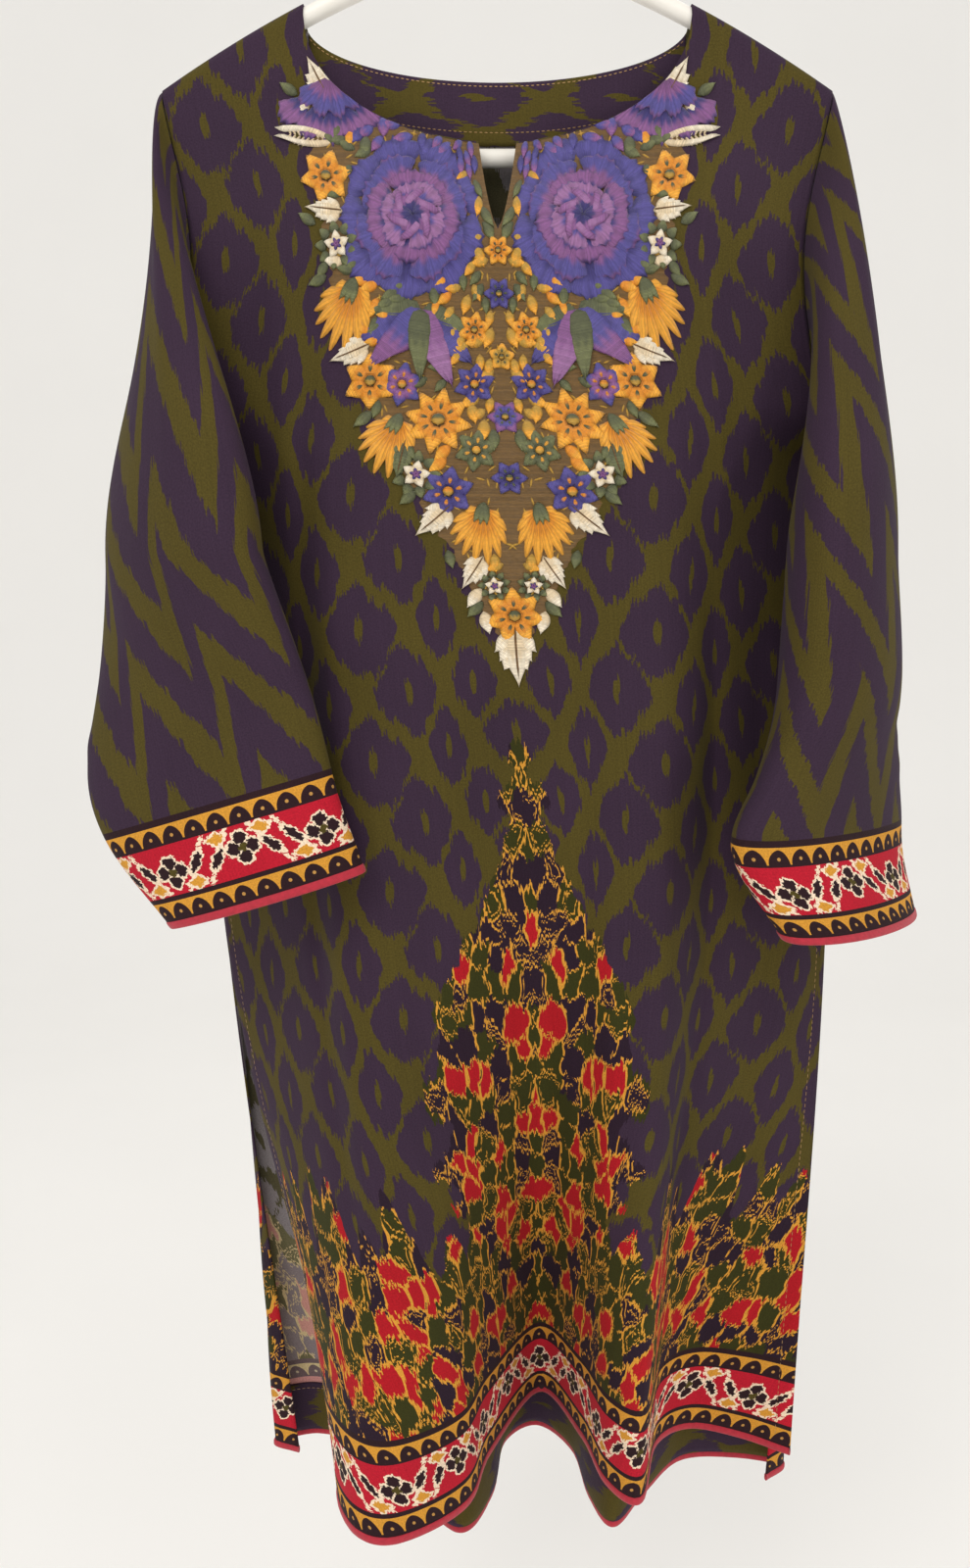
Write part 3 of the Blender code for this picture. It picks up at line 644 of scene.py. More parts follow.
# Zigzag bands: the height plus a zigzag 59 mm wide and 84 mm high, cut every 86 mm into a
# band of olive and a thicker one of aubergine. The rising side takes the given share of the
# width, and the zigzags lean sideways by the given slope.
def zigzagColour(tree, u, h, ink, rising, lean, start):
    high = feathered(u, h, 9.0)
    turn = (u - start + (h - 68.0) * lean) / 59.0
    turn = turn - turn.floor()
    tooth = (turn / rising).least((1.0 - turn) / (1.0 - rising))
    olive = (high - tooth * 84.0 + 10.0).wrapped(86.0).abs().below(21.5 - tooth * 5.0)
    return mixed(tree, olive, ink["aubergine"], ink["olive"])


# The printed border: two scalloped gold bands, and between them a crimson band with
# flowers, stepped lozenges and leafy diagonals, which repeats every 96 mm.
def borderColour(tree, u, h, under, ink):
    colour = mixed(tree, h.below(68.0), under, ink["plum"])
    for low in (7.0, 53.5):
        y = h - low
        inBand = y.above(0.0) * y.below(11.5)
        x = u.repeated(14.6)
        gold = inBand * ((x / 6.7).power(1.7) + (y / 9.0).power(1.9)).above(1.0) * y.below(10.4)
        dot = inBand * ((x / 1.1).power(2.0) + ((y - 3.4) / 1.1).power(2.0)).below(1.0)
        colour = mixed(tree, gold, colour, ink["gold"])
        colour = mixed(tree, dot, colour, ink["bead"])
    ground = h.above(20.5) * h.below(52.0)
    colour = mixed(tree, ground, colour, ink["crimson"])
    ragged = (randomOf((u / 1.1).floor(), 1.7) - 0.5) * 1.6
    sideways = (randomOf((h / 1.1).floor(), 4.9) - 0.5) * 1.6
    x, y = u + sideways, h + ragged - 36.2
    for shift, up in ((0.0, -1.0), (48.0, 1.0)):
        px = (x + shift).wrapped(96.0)
        py = y * up
        petals = petalMask(px, py - 1.5, 6.1, 4.1, 3.7)
        halo = petalMask(px, py - 1.5, 6.1, 5.5, 5.1)
        heart = ((px / 2.6).power(2.0) + ((py - 1.5) / 2.6).power(2.0)).below(1.0)
        side = px.abs() - 14.0
        lozenge = (side.abs() / 8.6) + ((py - 11.0).abs() / 5.6)
        line = px.abs() - 24.0 + (py + 12.0) * 0.62
        dashes = (py + 2.0).wrapped(5.2).abs().below(2.3)
        chain = line.abs().below(1.7) * dashes * py.above(-15.5) * py.below(15.5)
        leafPlace = ((line / 4.4).power(2.0) + ((py + 1.0) / 8.2).power(2.0))
        half = px.abs().below(36.5) * ground
        colour = mixed(tree, half * chain, colour, ink["cream"])
        colour = mixed(tree, half * leafPlace.below(1.0), colour, ink["cream"])
        colour = mixed(tree, half * leafPlace.below(0.46), colour, ink["plum"])
        colour = mixed(tree, half * lozenge.below(1.0), colour, ink["cream"])
        colour = mixed(tree, half * lozenge.below(0.68), colour, ink["gold"])
        colour = mixed(tree, half * halo, colour, ink["cream"])
        colour = mixed(tree, half * petals, colour, ink["plum"])
        colour = mixed(tree, half * heart, colour, ink["olive"])
    return colour


# Four round petals a given distance from the middle.
def petalMask(x, y, away, wide, high):
    upright = (x.abs() / wide).power(2.0) + ((y.abs() - away) / high).power(2.0)
    lying = ((x.abs() - away) / high).power(2.0) + (y.abs() / wide).power(2.0)
    return upright.least(lying).below(1.0)


# The garden print: dark patches with thin jagged gold edges and a few crimson blooms,
# mirrored about the middle, in a stepped tree shape over a low band.
def gardenColour(tree, u, h, under, treeTop, ink):
    side = u.abs()
    high = feathered(u, h, 6.0)
    wobble = noiseOf(tree, side, high, 22.0, 0.0, 3.0) - 0.5
    spread = ((treeTop - high) * 0.16 + 1.5).most((treeTop - 62.0 - high) * 0.62) + wobble * 26.0
    crown = side.below(spread.least(80.0 + wobble * 60.0)) * high.below(treeTop)
    low = high.below((noiseOf(tree, side, 0.0 * h, 15.0, 0.0, 9.0) - 0.5) * 110.0 + 196.0)
    inside = crown.most(low)
    warpX = side + (noiseOf(tree, side, high, 16.0, 0.0, 5.0) - 0.5) * 12.0
    warpY = high + (noiseOf(tree, side, high, 19.0, 0.0, 8.0) - 0.5) * 16.0
    place = vectorOf(tree, warpX / 13.0 + 0.5, warpY / 19.0)
    cells = {"Vector": place, "Scale": 1.0, "Randomness": 0.9}
    edge = addNode(
        tree, "ShaderNodeTexVoronoi", cells, feature="DISTANCE_TO_EDGE",
        voronoi_dimensions="2D",
    )
    cell = addNode(tree, "ShaderNodeTexVoronoi", cells, voronoi_dimensions="2D")
    pick = addNode(tree, "ShaderNodeSeparateColor", {0: cell.outputs["Color"]})
    pick = [Field(tree, socket) for socket in pick.outputs]
    toEdge = Field(tree, edge.outputs["Distance"])
    broken = noiseOf(tree, u, high, 11.0, 1.0, 2.0).above(0.40)
    patches = mixed(tree, pick[0].below(0.55), ink["dusk"], ink["leaf"])
    bloomCell = pick[1].below(0.20)
    outline = bloomCell * toEdge.above(0.03) * toEdge.below(0.12)
    patches = mixed(tree, outline, patches, ink["gold"])
    patches = mixed(tree, bloomCell * toEdge.above(0.085), patches, ink["red"])
    gold = toEdge.below(0.047) * broken
    patches = mixed(tree, gold, patches, ink["gold"])
    inner = (toEdge - 0.21).abs().below(0.022) * pick[2].below(0.30) * broken
    patches = mixed(tree, inner * (1.0 - bloomCell), patches, ink["gold"])
    return mixed(tree, inside, under, patches)


# Cotton: dull, with a fine grain in its colour and a plain weave in its bump. The wrong side
# of a print is paler and greyer.
def clothMaterial(name, paint, wrongSide=False, roughness=0.85):
    material = bpy.data.materials.new(name)
    material.use_nodes = True
    tree = material.node_tree
    shader = tree.nodes["Principled BSDF"]
    u, h = cutFields(tree)
    colour = paint(tree, u, h, inkBehind if wrongSide else ink)
    grain = noiseOf(tree, u, h, 1.1, 2.0) - 0.5
    cloudy = noiseOf(tree, u, h, 60.0, 2.0, 6.0) - 0.5
    threads = randomOf((u / 0.45).floor(), 11.0) - 0.5
    value = grain * 0.85 + cloudy * 0.30 + threads * 0.10 + 1.0
    tone = addNode(tree, "ShaderNodeHueSaturation", {"Value": value, "Color": colour})
    tree.links.new(tone.outputs[0], shader.inputs["Base Color"])
    shader.inputs["Roughness"].default_value = roughness
    shader.inputs["Specular IOR Level"].default_value = 0.18
    shader.inputs["Sheen Weight"].default_value = 0.02
    shader.inputs["Sheen Roughness"].default_value = 0.45
    weave = (u * (math.pi / 0.32)).sin() * (h * (math.pi / 0.32)).sin()
    crumple = noiseOf(tree, u, h, 9.0, 3.0, 12.0)
    height = weave * 0.00004 + crumple * 0.0006
    bump = addNode(tree, "ShaderNodeBump", {"Strength": 0.55, "Distance": 1.0, "Height": height})
    tree.links.new(bump.outputs[0], shader.inputs["Normal"])
    return material


def frontPaint(tree, u, h, ink):
    colour = latticeColour(tree, u, h, ink)
    colour = gardenColour(tree, u, h, colour, 520.0, ink)
    return borderColour(tree, u, h, colour, ink)


def backPaint(tree, u, h, ink):
    colour = latticeColour(tree, u + 11.0, h, ink)
    colour = gardenColour(tree, u, h, colour, 120.0, ink)
    return borderColour(tree, u + 20.0, h, colour, ink)


def rightSleevePaint(tree, u, h, ink):
    return borderColour(tree, u, h, zigzagColour(tree, u, h, ink, 0.69, -0.08, 40.0), ink)


def leftSleevePaint(tree, u, h, ink):
    return borderColour(tree, u, h, zigzagColour(tree, u, h, ink, 0.50, 0.52, 87.0), ink)


def facingPaint(tree, u, h, ink):
    return latticeColour(tree, h + 20.0, u * 0.9 + 31.0, ink)


# Red cotton cut on the bias: fine slanting ribs, in its bump and as painted shade and light in its colour.
def bindingMaterial():
    material = bpy.data.materials.new("redBinding")
    material.use_nodes = True
    tree = material.node_tree
    shader = tree.nodes["Principled BSDF"]
    u, h = cutFields(tree)
    slant = ((u + h) * (math.pi / 0.5)).sin()
    mottle = noiseOf(tree, u, h, 3.0, 3.0) - 0.5
    # Painted shade and light: the slanting ribs also darken and lighten the colour.
    tone = addNode(
        tree, "ShaderNodeHueSaturation",
        {"Value": slant * 0.07 + mottle * 0.7 + 1.0, "Color": (*hexColour("#b01f33"), 1)},
    )
    tree.links.new(tone.outputs[0], shader.inputs["Base Color"])
    shader.inputs["Roughness"].default_value = 0.78
    shader.inputs["Sheen Weight"].default_value = 0.15
    bump = addNode(
        tree, "ShaderNodeBump",
        {"Strength": 0.5, "Distance": 1.0, "Height": slant * 0.00006 + mottle * 0.0006},
    )
    tree.links.new(bump.outputs[0], shader.inputs["Normal"])
    return material


# Silky thread laid side by side: ribs 0.8 mm apart along each stitched shape, with a soft
# gloss and painted shade and light across each rib, and each thread a little lighter or darker.
def threadMaterial(name, plain=None):
    material = bpy.data.materials.new(name)
    material.use_nodes = True
    tree = material.node_tree
    shader = tree.nodes["Principled BSDF"]
    u, h = cutFields(tree)
    along = h + noiseOf(tree, u, h, 6.0, 2.0) * 1.6
    rib = (along * (math.pi / 0.42)).sin()
    shade = randomOf((along / 0.84).floor(), 2.0) - 0.5
    mottle = noiseOf(tree, u, h, 2.4, 2.0, 5.0) - 0.5
    if plain is None:
        # The thread attribute brings each shape's colour with its painted shade at its sides and ends.
        colour = addNode(tree, "ShaderNodeVertexColor", layer_name="thread").outputs[0]
    else:
        colour = (*plain, 1)
    # Painted shade and light: the rib wave also darkens and lightens the colour across each thread.
    tone = addNode(
        tree, "ShaderNodeHueSaturation",
        {"Value": shade * 0.34 + rib * 0.10 + mottle * 0.5 + 1.0, "Color": colour},
    )
    tree.links.new(tone.outputs[0], shader.inputs["Base Color"])
    shader.inputs["Roughness"].default_value = 0.46
    shader.inputs["Sheen Weight"].default_value = 0.25
    shader.inputs["Sheen Roughness"].default_value = 0.35
    bump = addNode(
        tree, "ShaderNodeBump",
        {"Strength": 0.8, "Distance": 1.0, "Height": rib * 0.00014 + mottle * 0.0004},
    )
    tree.links.new(bump.outputs[0], shader.inputs["Normal"])
    return material


# Moulded plastic: white, half gloss, with a faint unevenness.
def plasticMaterial():
    material = bpy.data.materials.new("whitePlastic")
    material.use_nodes = True
    tree = material.node_tree
    shader = tree.nodes["Principled BSDF"]
    place = addNode(tree, "ShaderNodeTexCoord").outputs["Object"]
    cloud = addNode(
        tree, "ShaderNodeTexNoise", {"Vector": place, "Scale": 60.0, "Detail": 3.0}
    ).outputs[0]
    colour = mixed(tree, cloud, hexColour("#e9e4da"), hexColour("#f4f1ea"))
    tree.links.new(colour, shader.inputs["Base Color"])
    rough = Field(tree, cloud) * 0.18 + 0.30
    tree.links.new(rough.socket, shader.inputs["Roughness"])
    bump = addNode(
        tree, "ShaderNodeBump", {"Strength": 0.25, "Distance": 0.0004, "Height": cloud}
    )
    tree.links.new(bump.outputs[0], shader.inputs["Normal"])
    return material


frontPrint = clothMaterial("frontPrint", frontPaint)
frontInside = clothMaterial("frontWrongSide", frontPaint, wrongSide=True)
backPrint = clothMaterial("backPrint", backPaint)
backInside = clothMaterial("backWrongSide", backPaint, wrongSide=True)
rightSleevePrint = clothMaterial("rightSleevePrint", rightSleevePaint)
rightSleeveInside = clothMaterial("rightSleeveWrongSide", rightSleevePaint, wrongSide=True)
leftSleevePrint = clothMaterial("leftSleevePrint", leftSleevePaint)
leftSleeveInside = clothMaterial("leftSleeveWrongSide", leftSleevePaint, wrongSide=True)
facingPrint = clothMaterial("facingPrint", facingPaint)
redBinding = bindingMaterial()
stitchThread = threadMaterial("tanStitches", hexColour("#b08a56"))
groundThread = threadMaterial("brownGround", hexColour("#6a4d20"))
silkThread = threadMaterial("silkThread")
whitePlastic = plasticMaterial()
print("materials made")


# ---- Front and back

frontCloth = wholePanel("frontCloth", front, body["frontNeck"], (44, 30, 190), True)
thicken(frontCloth, body["wall"])
finished(frontCloth, [frontPrint, frontInside], "body_print", "front")
backCloth = wholePanel("backCloth", back, body["backNeck"], (40, 30, 190), False)
thicken(backCloth, body["wall"])
finished(backCloth, [backPrint, backInside], "body_print", "back")
print("front and back made")


# A strip of a panel between two lines of drops, moved along the panel's normal.
def panelStrip(name, panel, shares, upper, lower, rows, lift):
    drops = upper + (lower - upper) * np.linspace(0, 1, rows)[:, None]
    points = panel.lifted(shares[None, :], drops, np.full(drops.shape, lift))
    quads, corners = gridQuads(rows, len(shares))
    if panel.side < 0:
        quads, corners = quads[:, ::-1], corners[:, ::-1]
    cutX, cutY = panel.cut(shares[None, :], drops)
    cut = np.stack([cutX, cutY], axis=-1).reshape(-1, 2)
    return meshObject(name, points.reshape(-1, 3), quads, cut[corners.ravel()])


facing = dict(neckDepth=0.036, hemDepth=0.042, wall=0.0009, lift=-0.0014)
neckShares = columnShares(60, 6)[:59]
neckShares = np.concatenate([-neckShares[:0:-1], neckShares])
neckTop = topEdge(neckShares, body["backNeck"]) + 0.0004
neckFacing = panelStrip(
    "neckFacing", back, neckShares, neckTop, neckTop + facing["neckDepth"], 14, facing["lift"]
)
thicken(neckFacing, facing["wall"], False)
finished(neckFacing, [facingPrint], "facing_print", "back_neck_facing")
everyShare = np.linspace(-0.985, 0.985, 300)
hemLine = np.full(len(everyShare), back.length - body["binding"])
hemFacing = panelStrip(
    "hemFacing", back, everyShare, hemLine - facing["hemDepth"], hemLine, 12, facing["lift"]
)
thicken(hemFacing, facing["wall"], False)
finished(hemFacing, [facingPrint], "facing_print", "back_hem_facing")
print("facings made")


# ---- Bindings

# A folded strip along an edge: an oval section of the given height and thickness, carried
# along the edge with its own outward and downward directions.
def bindingMesh(name, edge, outward, downward, height, thick, closed):
    turn = np.linspace(0, 2 * math.pi, 13)[:-1]
    wide = np.sign(np.cos(turn)) * np.abs(np.cos(turn)) ** 0.7 * thick / 2
    tall = np.sign(np.sin(turn)) * np.abs(np.sin(turn)) ** 0.7 * height / 2
    wave = 1 + 0.06 * np.sin(np.arange(len(edge)) * 0.9) * np.sin(np.arange(len(edge)) * 0.23)
    ring = (
        edge[:, None, :]
        + outward[:, None, :] * (wide[None, :] * wave[:, None])[..., None]
        + downward[:, None, :] * tall[None, :, None]
    )
    along = np.concatenate([[0], np.cumsum(np.linalg.norm(np.diff(edge, axis=0), axis=1))])
    if closed:
        ring = np.concatenate([ring, ring[:1]])
        along = np.append(along, along[-1] + np.linalg.norm(edge[0] - edge[-1]))
    quads, corners = gridQuads(*ring.shape[:2], closed=True)
    around = np.linspace(0, 2 * (height + thick), 13)
    cut = np.stack(np.meshgrid(along, around, indexing="ij"), axis=-1).reshape(-1, 2)
    points = ring.reshape(-1, 3)
    faces = quads
    if closed:
        last = len(edge) * 12
        faces = np.where(faces >= last, faces - last, faces)
        points = points[:last]
    made = meshObject(name, points, faces, cut[corners.ravel()])
    if not closed:
        first = np.arange(12)
        final = (len(edge) - 1) * 12 + np.arange(12)
        mesh = made.data
        work = bmesh.new()
        work.from_mesh(mesh)
        work.verts.ensure_lookup_table()
        work.faces.new([work.verts[int(i)] for i in first])
        work.faces.new([work.verts[int(i)] for i in final[::-1]])
        work.to_mesh(mesh)
        work.free()
    return made


def hemBinding(name, panel, node):
    shares = np.linspace(-1, 1, 420)
    drops = np.full(len(shares), panel.length - body["binding"] / 2)
    edge = panel.at(shares, drops)
    outward = panel.normal(np.clip(shares, -0.99, 0.99), drops)
    downward = np.zeros_like(edge)
    downward[:, 2] = -1
    made = bindingMesh(name, edge, outward, downward, 0.0056, 0.0026, False)
    return finished(made, [redBinding], "binding", node)


frontBinding = hemBinding("frontBinding", front, "front_hem_binding")
backBinding = hemBinding("backBinding", back, "back_hem_binding")
print("hem bindings made")


# ---- Sleeves

# Columns: drop, x and y of the centre, half width, half depth, turn in degrees, inner lift.
rightSections = (
    (0.330, -0.1905, -0.046, 0.070, 0.034, 48.0, 0.002),
    (0.387, -0.1840, -0.052, 0.073, 0.029, 32.0, 0.010),
    (0.445, -0.1785, -0.064, 0.0755, 0.022, 15.0, 0.018),
    (0.480, -0.1690, -0.068, 0.0715, 0.022, 9.0, 0.020),
    (0.5365, -0.1388, -0.072, 0.0598, 0.022, 8.0, 0.019),
)
leftSections = (
    (0.330, 0.2085, -0.044, 0.066, 0.032, 73.0, 0.000),
    (0.400, 0.2105, -0.042, 0.063, 0.035, 65.0, 0.000),
    (0.460, 0.2050, -0.046, 0.0710, 0.030, 49.0, 0.000),
    (0.500, 0.2000, -0.046, 0.0805, 0.030, 43.0, 0.002),
    (0.558, 0.2215, -0.046, 0.0735, 0.028, 50.0, 0.002),
)
# Columns as for the panels, with across as a share of the way round.
rightSleeveCreases = (
    ("elbow crease", 0.30, 0.30, 0.62, 0.335, 0.010, -0.0030),
    ("elbow ridge", 0.26, 0.34, 0.60, 0.375, 0.011, 0.0024),
    ("long fall", 0.40, 0.10, 0.46, 0.34, 0.016, -0.0022),
    ("inner fall", 0.24, 0.12, 0.22, 0.30, 0.014, 0.0016),
    ("cuff fall", 0.52, 0.38, 0.44, 0.47, 0.012, -0.0016),
)
leftSleeveCreases = (
    ("elbow crease", 0.22, 0.33, 0.50, 0.30, 0.010, -0.0028),
    ("elbow ridge", 0.24, 0.37, 0.52, 0.345, 0.011, 0.0022),
    ("long fall", 0.34, 0.08, 0.36, 0.33, 0.016, -0.0026),
    ("outer fall", 0.50, 0.10, 0.48, 0.36, 0.016, 0.0018),
    ("cuff fall", 0.30, 0.37, 0.34, 0.47, 0.012, -0.0018),
)


def oval(section, turns, side):
    drop, x, y, halfWidth, halfDepth, turn, lift = section
    angle = np.radians(turns + 120.0)
    wide = halfWidth * np.cos(angle)
    deep = halfDepth * np.sin(angle)
    yaw = math.radians(turn)
    inward = wide * math.cos(yaw) + deep * math.sin(yaw)
    behind = -wide * math.sin(yaw) + deep * math.cos(yaw)
    up = lift * wide / halfWidth
    return np.stack([x - side * inward, y + behind, body["neckZ"] - drop + up], axis=-1)


# The body's armhole edge: up the front, over the tip, down the back.
def armhole(side, around):
    tip = float(armDrop(body["shoulderHalf"]))
    up = 1 - np.abs(1 - around / 180.0)
    drops = np.interp(up, (0, 4.0 / 26, 1), (body["underarm"], body["armLow"], tip))
    ones = side * np.ones_like(up)
    first, second = front.at(ones, drops), back.at(ones, drops)
    share = ease((around - 172) / 16) - ease((around - 352) / 8) + ease((8 - around) / 8) * 0.5
    share = np.where(around > 352, 1 - ease((around - 352) / 8) * 0.5, share)
    edge = first * (1 - share[:, None]) + second * share[:, None]
    edge[:, 0] += side * 0.0009
    return edge


# A sleeve's rows: a curved cap from the armhole, then ovals down to the cuff.
def sleeveRows(sections, side, columns, capRows, lowRows, creases):
    headFall = 0.008 if side > 0 else 0.0
    turns = -np.arange(columns) * 360.0 / columns
    around = -turns
    table = np.array(sections, float)
    start = armhole(side, around)
    first = oval(table[0], turns, side)
    forward = np.sin(np.radians(around))
    low = np.cos(np.radians(around))
    leave = np.stack(
        [
            side * (0.012 - 0.001 * low - 0.006 * np.maximum(forward, 0)
                    - headFall * np.maximum(-low, 0) ** 2),
            -0.018 * np.maximum(forward, 0) + 0.004 * np.maximum(-forward, 0),
            -0.010 - 0.004 * low,
        ],
        axis=-1,
    )
    arrive = np.zeros_like(start)
    arrive[:, 2] = 0.4 * (start[:, 2] - first[:, 2])
    t = np.linspace(0, 1, capRows + 1)[:-1, None, None]
    cap = (
        start * (1 - t) ** 3
        + 3 * (start + leave) * t * (1 - t) ** 2
        + 3 * (first + arrive) * t**2 * (1 - t)
        + first * t**3
    )
    drops = np.linspace(table[0, 0], table[-1, 0] - body["binding"] * 0.6, lowRows)
    lower = np.array([oval(row, turns, side) for row in smoothThrough(table[:, 0], table, drops)])
    rows = np.concatenate([cap, lower])
    blended = rows.copy()
    for again in range(3):
        blended[1:-1] = (blended[:-2] + 2 * blended[1:-1] + blended[2:]) / 4
    weight = np.clip(np.minimum(np.arange(len(rows)), len(rows) - 1 - np.arange(len(rows))) / 8,
                     0, 1)[:, None, None]
    rows = rows + (blended - rows) * weight
    across = np.roll(rows, -1, axis=1) - np.roll(rows, 1, axis=1)
    down = np.gradient(rows, axis=0)
    normal = np.cross(down, across) * side
    normal /= np.maximum(np.linalg.norm(normal, axis=2, keepdims=True), 1e-12)
    share = (around / 360)[None, :] * np.ones((len(rows), 1))
    depth = np.linspace(0, 0.50, len(rows))[:, None] * np.ones((1, columns))
    lift = creaseHeight(creases, share * 0.36, depth)
    fade = ease(np.arange(len(rows)) / 10)[:, None] * ease((len(rows) - 1 - np.arange(len(rows))) / 6)[:, None]
    return rows + normal * (lift * fade)[..., None], normal


# Coordinates of a sleeve's cut: the way round from its front, and the height above its cuff.
def sleeveCut(rows, frontColumn):
    closed = np.concatenate([rows, rows[:, :1]], axis=1)
    step = np.linalg.norm(np.diff(closed, axis=1), axis=2)
    around = np.concatenate([np.zeros((len(rows), 1)), np.cumsum(step, axis=1)], axis=1)
    around = around - around[:, frontColumn : frontColumn + 1]
    down = np.linalg.norm(np.diff(closed, axis=0), axis=2)
    down = 0.35 * down + 0.65 * down.mean(axis=1, keepdims=True)
    high = np.concatenate([np.cumsum(down[::-1], axis=0)[::-1], np.zeros((1, closed.shape[1]))])
    return np.stack([around, high + body["binding"] * 0.6], axis=-1).reshape(-1, 2)


def makeSleeve(name, sections, side, creases, frontColumn, node, materials):
    columns = 104
    rows, normal = sleeveRows(sections, side, columns, 44, 74, creases)
    quads, corners = gridQuads(*rows.shape[:2], closed=True)
    if side > 0:
        quads, corners = quads[:, ::-1], corners[:, ::-1]
    cut = sleeveCut(rows, frontColumn)
    made = meshObject(name, rows.reshape(-1, 3), quads, cut[corners.ravel()])
    thicken(made, body["wall"])
    finished(made, materials, "sleeve_print", node)
    downward = rows[-1] - rows[-3]
    downward /= np.linalg.norm(downward, axis=1, keepdims=True)
    edge = rows[-1] + downward * 0.0006
    rim = bindingMesh(name + "Binding", edge, normal[-1], downward, 0.0056, 0.0026, True)
    finished(rim, [redBinding], "binding", node + "_binding")
    return made, rim


rightSleeve, rightRim = makeSleeve(
    "rightSleeve", rightSections, -1, rightSleeveCreases, 44, "right_sleeve",
    [rightSleevePrint, rightSleeveInside],
)
leftSleeve, leftRim = makeSleeve(
    "leftSleeve", leftSections, 1, leftSleeveCreases, 44, "left_sleeve",
    [leftSleevePrint, leftSleeveInside],
)
print("sleeves made")


# ---- Hanger

# A round tube along points, with rings square to the path.
def tubeMesh(name, path, radius, closed):
    path = np.asarray(path, float)
    ahead = np.roll(path, -1, axis=0) - np.roll(path, 1, axis=0)
    if not closed:
        ahead[0] = path[1] - path[0]
        ahead[-1] = path[-1] - path[-2]
    ahead /= np.linalg.norm(ahead, axis=1, keepdims=True)
    out = np.tile([0.0, 1.0, 0.0], (len(path), 1))
    up = np.cross(ahead, out)
    turn = np.linspace(0, 2 * math.pi, 25)[:-1]
    size = np.full(len(path), radius)
    if not closed:
        near = np.concatenate([[0], np.cumsum(np.linalg.norm(np.diff(path, axis=0), axis=1))])
        cap = np.clip(1 - near / radius, 0, 1)
        size = radius * np.sqrt(np.clip(1 - cap**2, 0.0004, 1))
    ring = path[:, None] + size[:, None, None] * (
        out[:, None] * np.cos(turn)[None, :, None] + up[:, None] * np.sin(turn)[None, :, None]
    )
    if closed:
        ring = np.concatenate([ring, ring[:1]])
    quads, corners = gridQuads(*ring.shape[:2], closed=True)
    points = ring.reshape(-1, 3)
    if closed:
        last = len(path) * 24
        quads = np.where(quads >= last, quads - last, quads)
        points = points[:last]
    return meshObject(name, points, quads)


def makeHanger():
    armX = np.linspace(0.004, hanger["armEnd"], 40)
    armZ = body["neckZ"] - overTube(armX) - armDrop(armX)
    barZ = body["neckZ"] - hanger["bar"]
    slope = math.atan(hanger["slope"] + 2 * hanger["curve"] * hanger["armEnd"])
    radius = (armZ[-1] - barZ) / (1 + math.cos(slope))
    centreX = hanger["armEnd"] - radius * math.sin(slope)
    turn = np.linspace(math.pi / 2 - slope, -math.pi / 2, 26)[1:]
    bendX = centreX + radius * np.cos(turn)
    bendZ = barZ + radius + radius * np.sin(turn)
    barX = np.linspace(centreX, 0, 20)[1:]
    x = np.concatenate([armX, bendX, barX])
    z = np.concatenate([armZ, bendZ, np.full(len(barX), barZ)])
    right = np.stack([x, 0 * x, z], axis=1)
    left = right[-2::-1] * [-1, 1, 1]
    tube = tubeMesh("hangerTube", np.concatenate([right, left]), hanger["tube"], True)
    line = hanger["hookInner"] + hanger["rod"]
    apex = armZ[0] + hanger["tube"] - 0.0004
    around = np.radians(np.linspace(200, -90, 80))
    bow = np.stack(
        [line * np.cos(around), 0 * around, -hanger["hookInner"] + line * np.sin(around)], axis=1
    )
    lead = bow[0] - (bow[1] - bow[0]) * 0.0
    stem = np.stack(
        [np.zeros(12), np.zeros(12), np.linspace(bow[-1][2] - 0.003, apex, 12)], axis=1
    )
    hook = tubeMesh("hangerHook", np.concatenate([bow, stem]), hanger["rod"], False)
    finished(tube, [whitePlastic], "plastic", "hanger")
    finished(hook, [whitePlastic], "plastic", "hook")
    return tube, hook


hangerTube, hangerHook = makeHanger()
print("hanger made")


# ---- Embroidered yoke

yoke = dict(
    across=(0.000, 0.012, 0.030, 0.052, 0.075, 0.098, 0.120, 0.133),
    lower=(0.412, 0.378, 0.335, 0.318, 0.262, 0.240, 0.226, 0.160),
    lift=0.0011,
)
silk = {
    "blue": hexColour("#524a92"),
    "deep": hexColour("#3b3374"),
    "mauve": hexColour("#87558c"),
    "rose": hexColour("#9a6a9c"),
    "gold": hexColour("#dd8a1e"),
    "amber": hexColour("#eda632"),
    "cream": hexColour("#e2cca8"),
    "ivory": hexColour("#f0e3cb"),
    "moss": hexColour("#54583a"),
    "fern": hexColour("#6b6f46"),
    "brown": hexColour("#6d4c22"),
    "straw": hexColour("#b98f35"),
}


# Places on the yoke, in metres across and down, to points on the front, with the slit's
# push, raised along the normal. Nothing goes past the neckline or the slit's edge.
def onYoke(x, drop, lift):
    share = np.clip(x / body["shoulderHalf"], -1, 1)
    drop = np.maximum(drop, topEdge(share, body["frontNeck"]) + 0.0012)
    lean = 0.0055 * ease((drop - 0.13) / 0.22)
    points = front.lifted(share + lean / body["shoulderHalf"], drop, lift)
    points[..., 0] += slitShift(x, drop)
    return points


patches = []
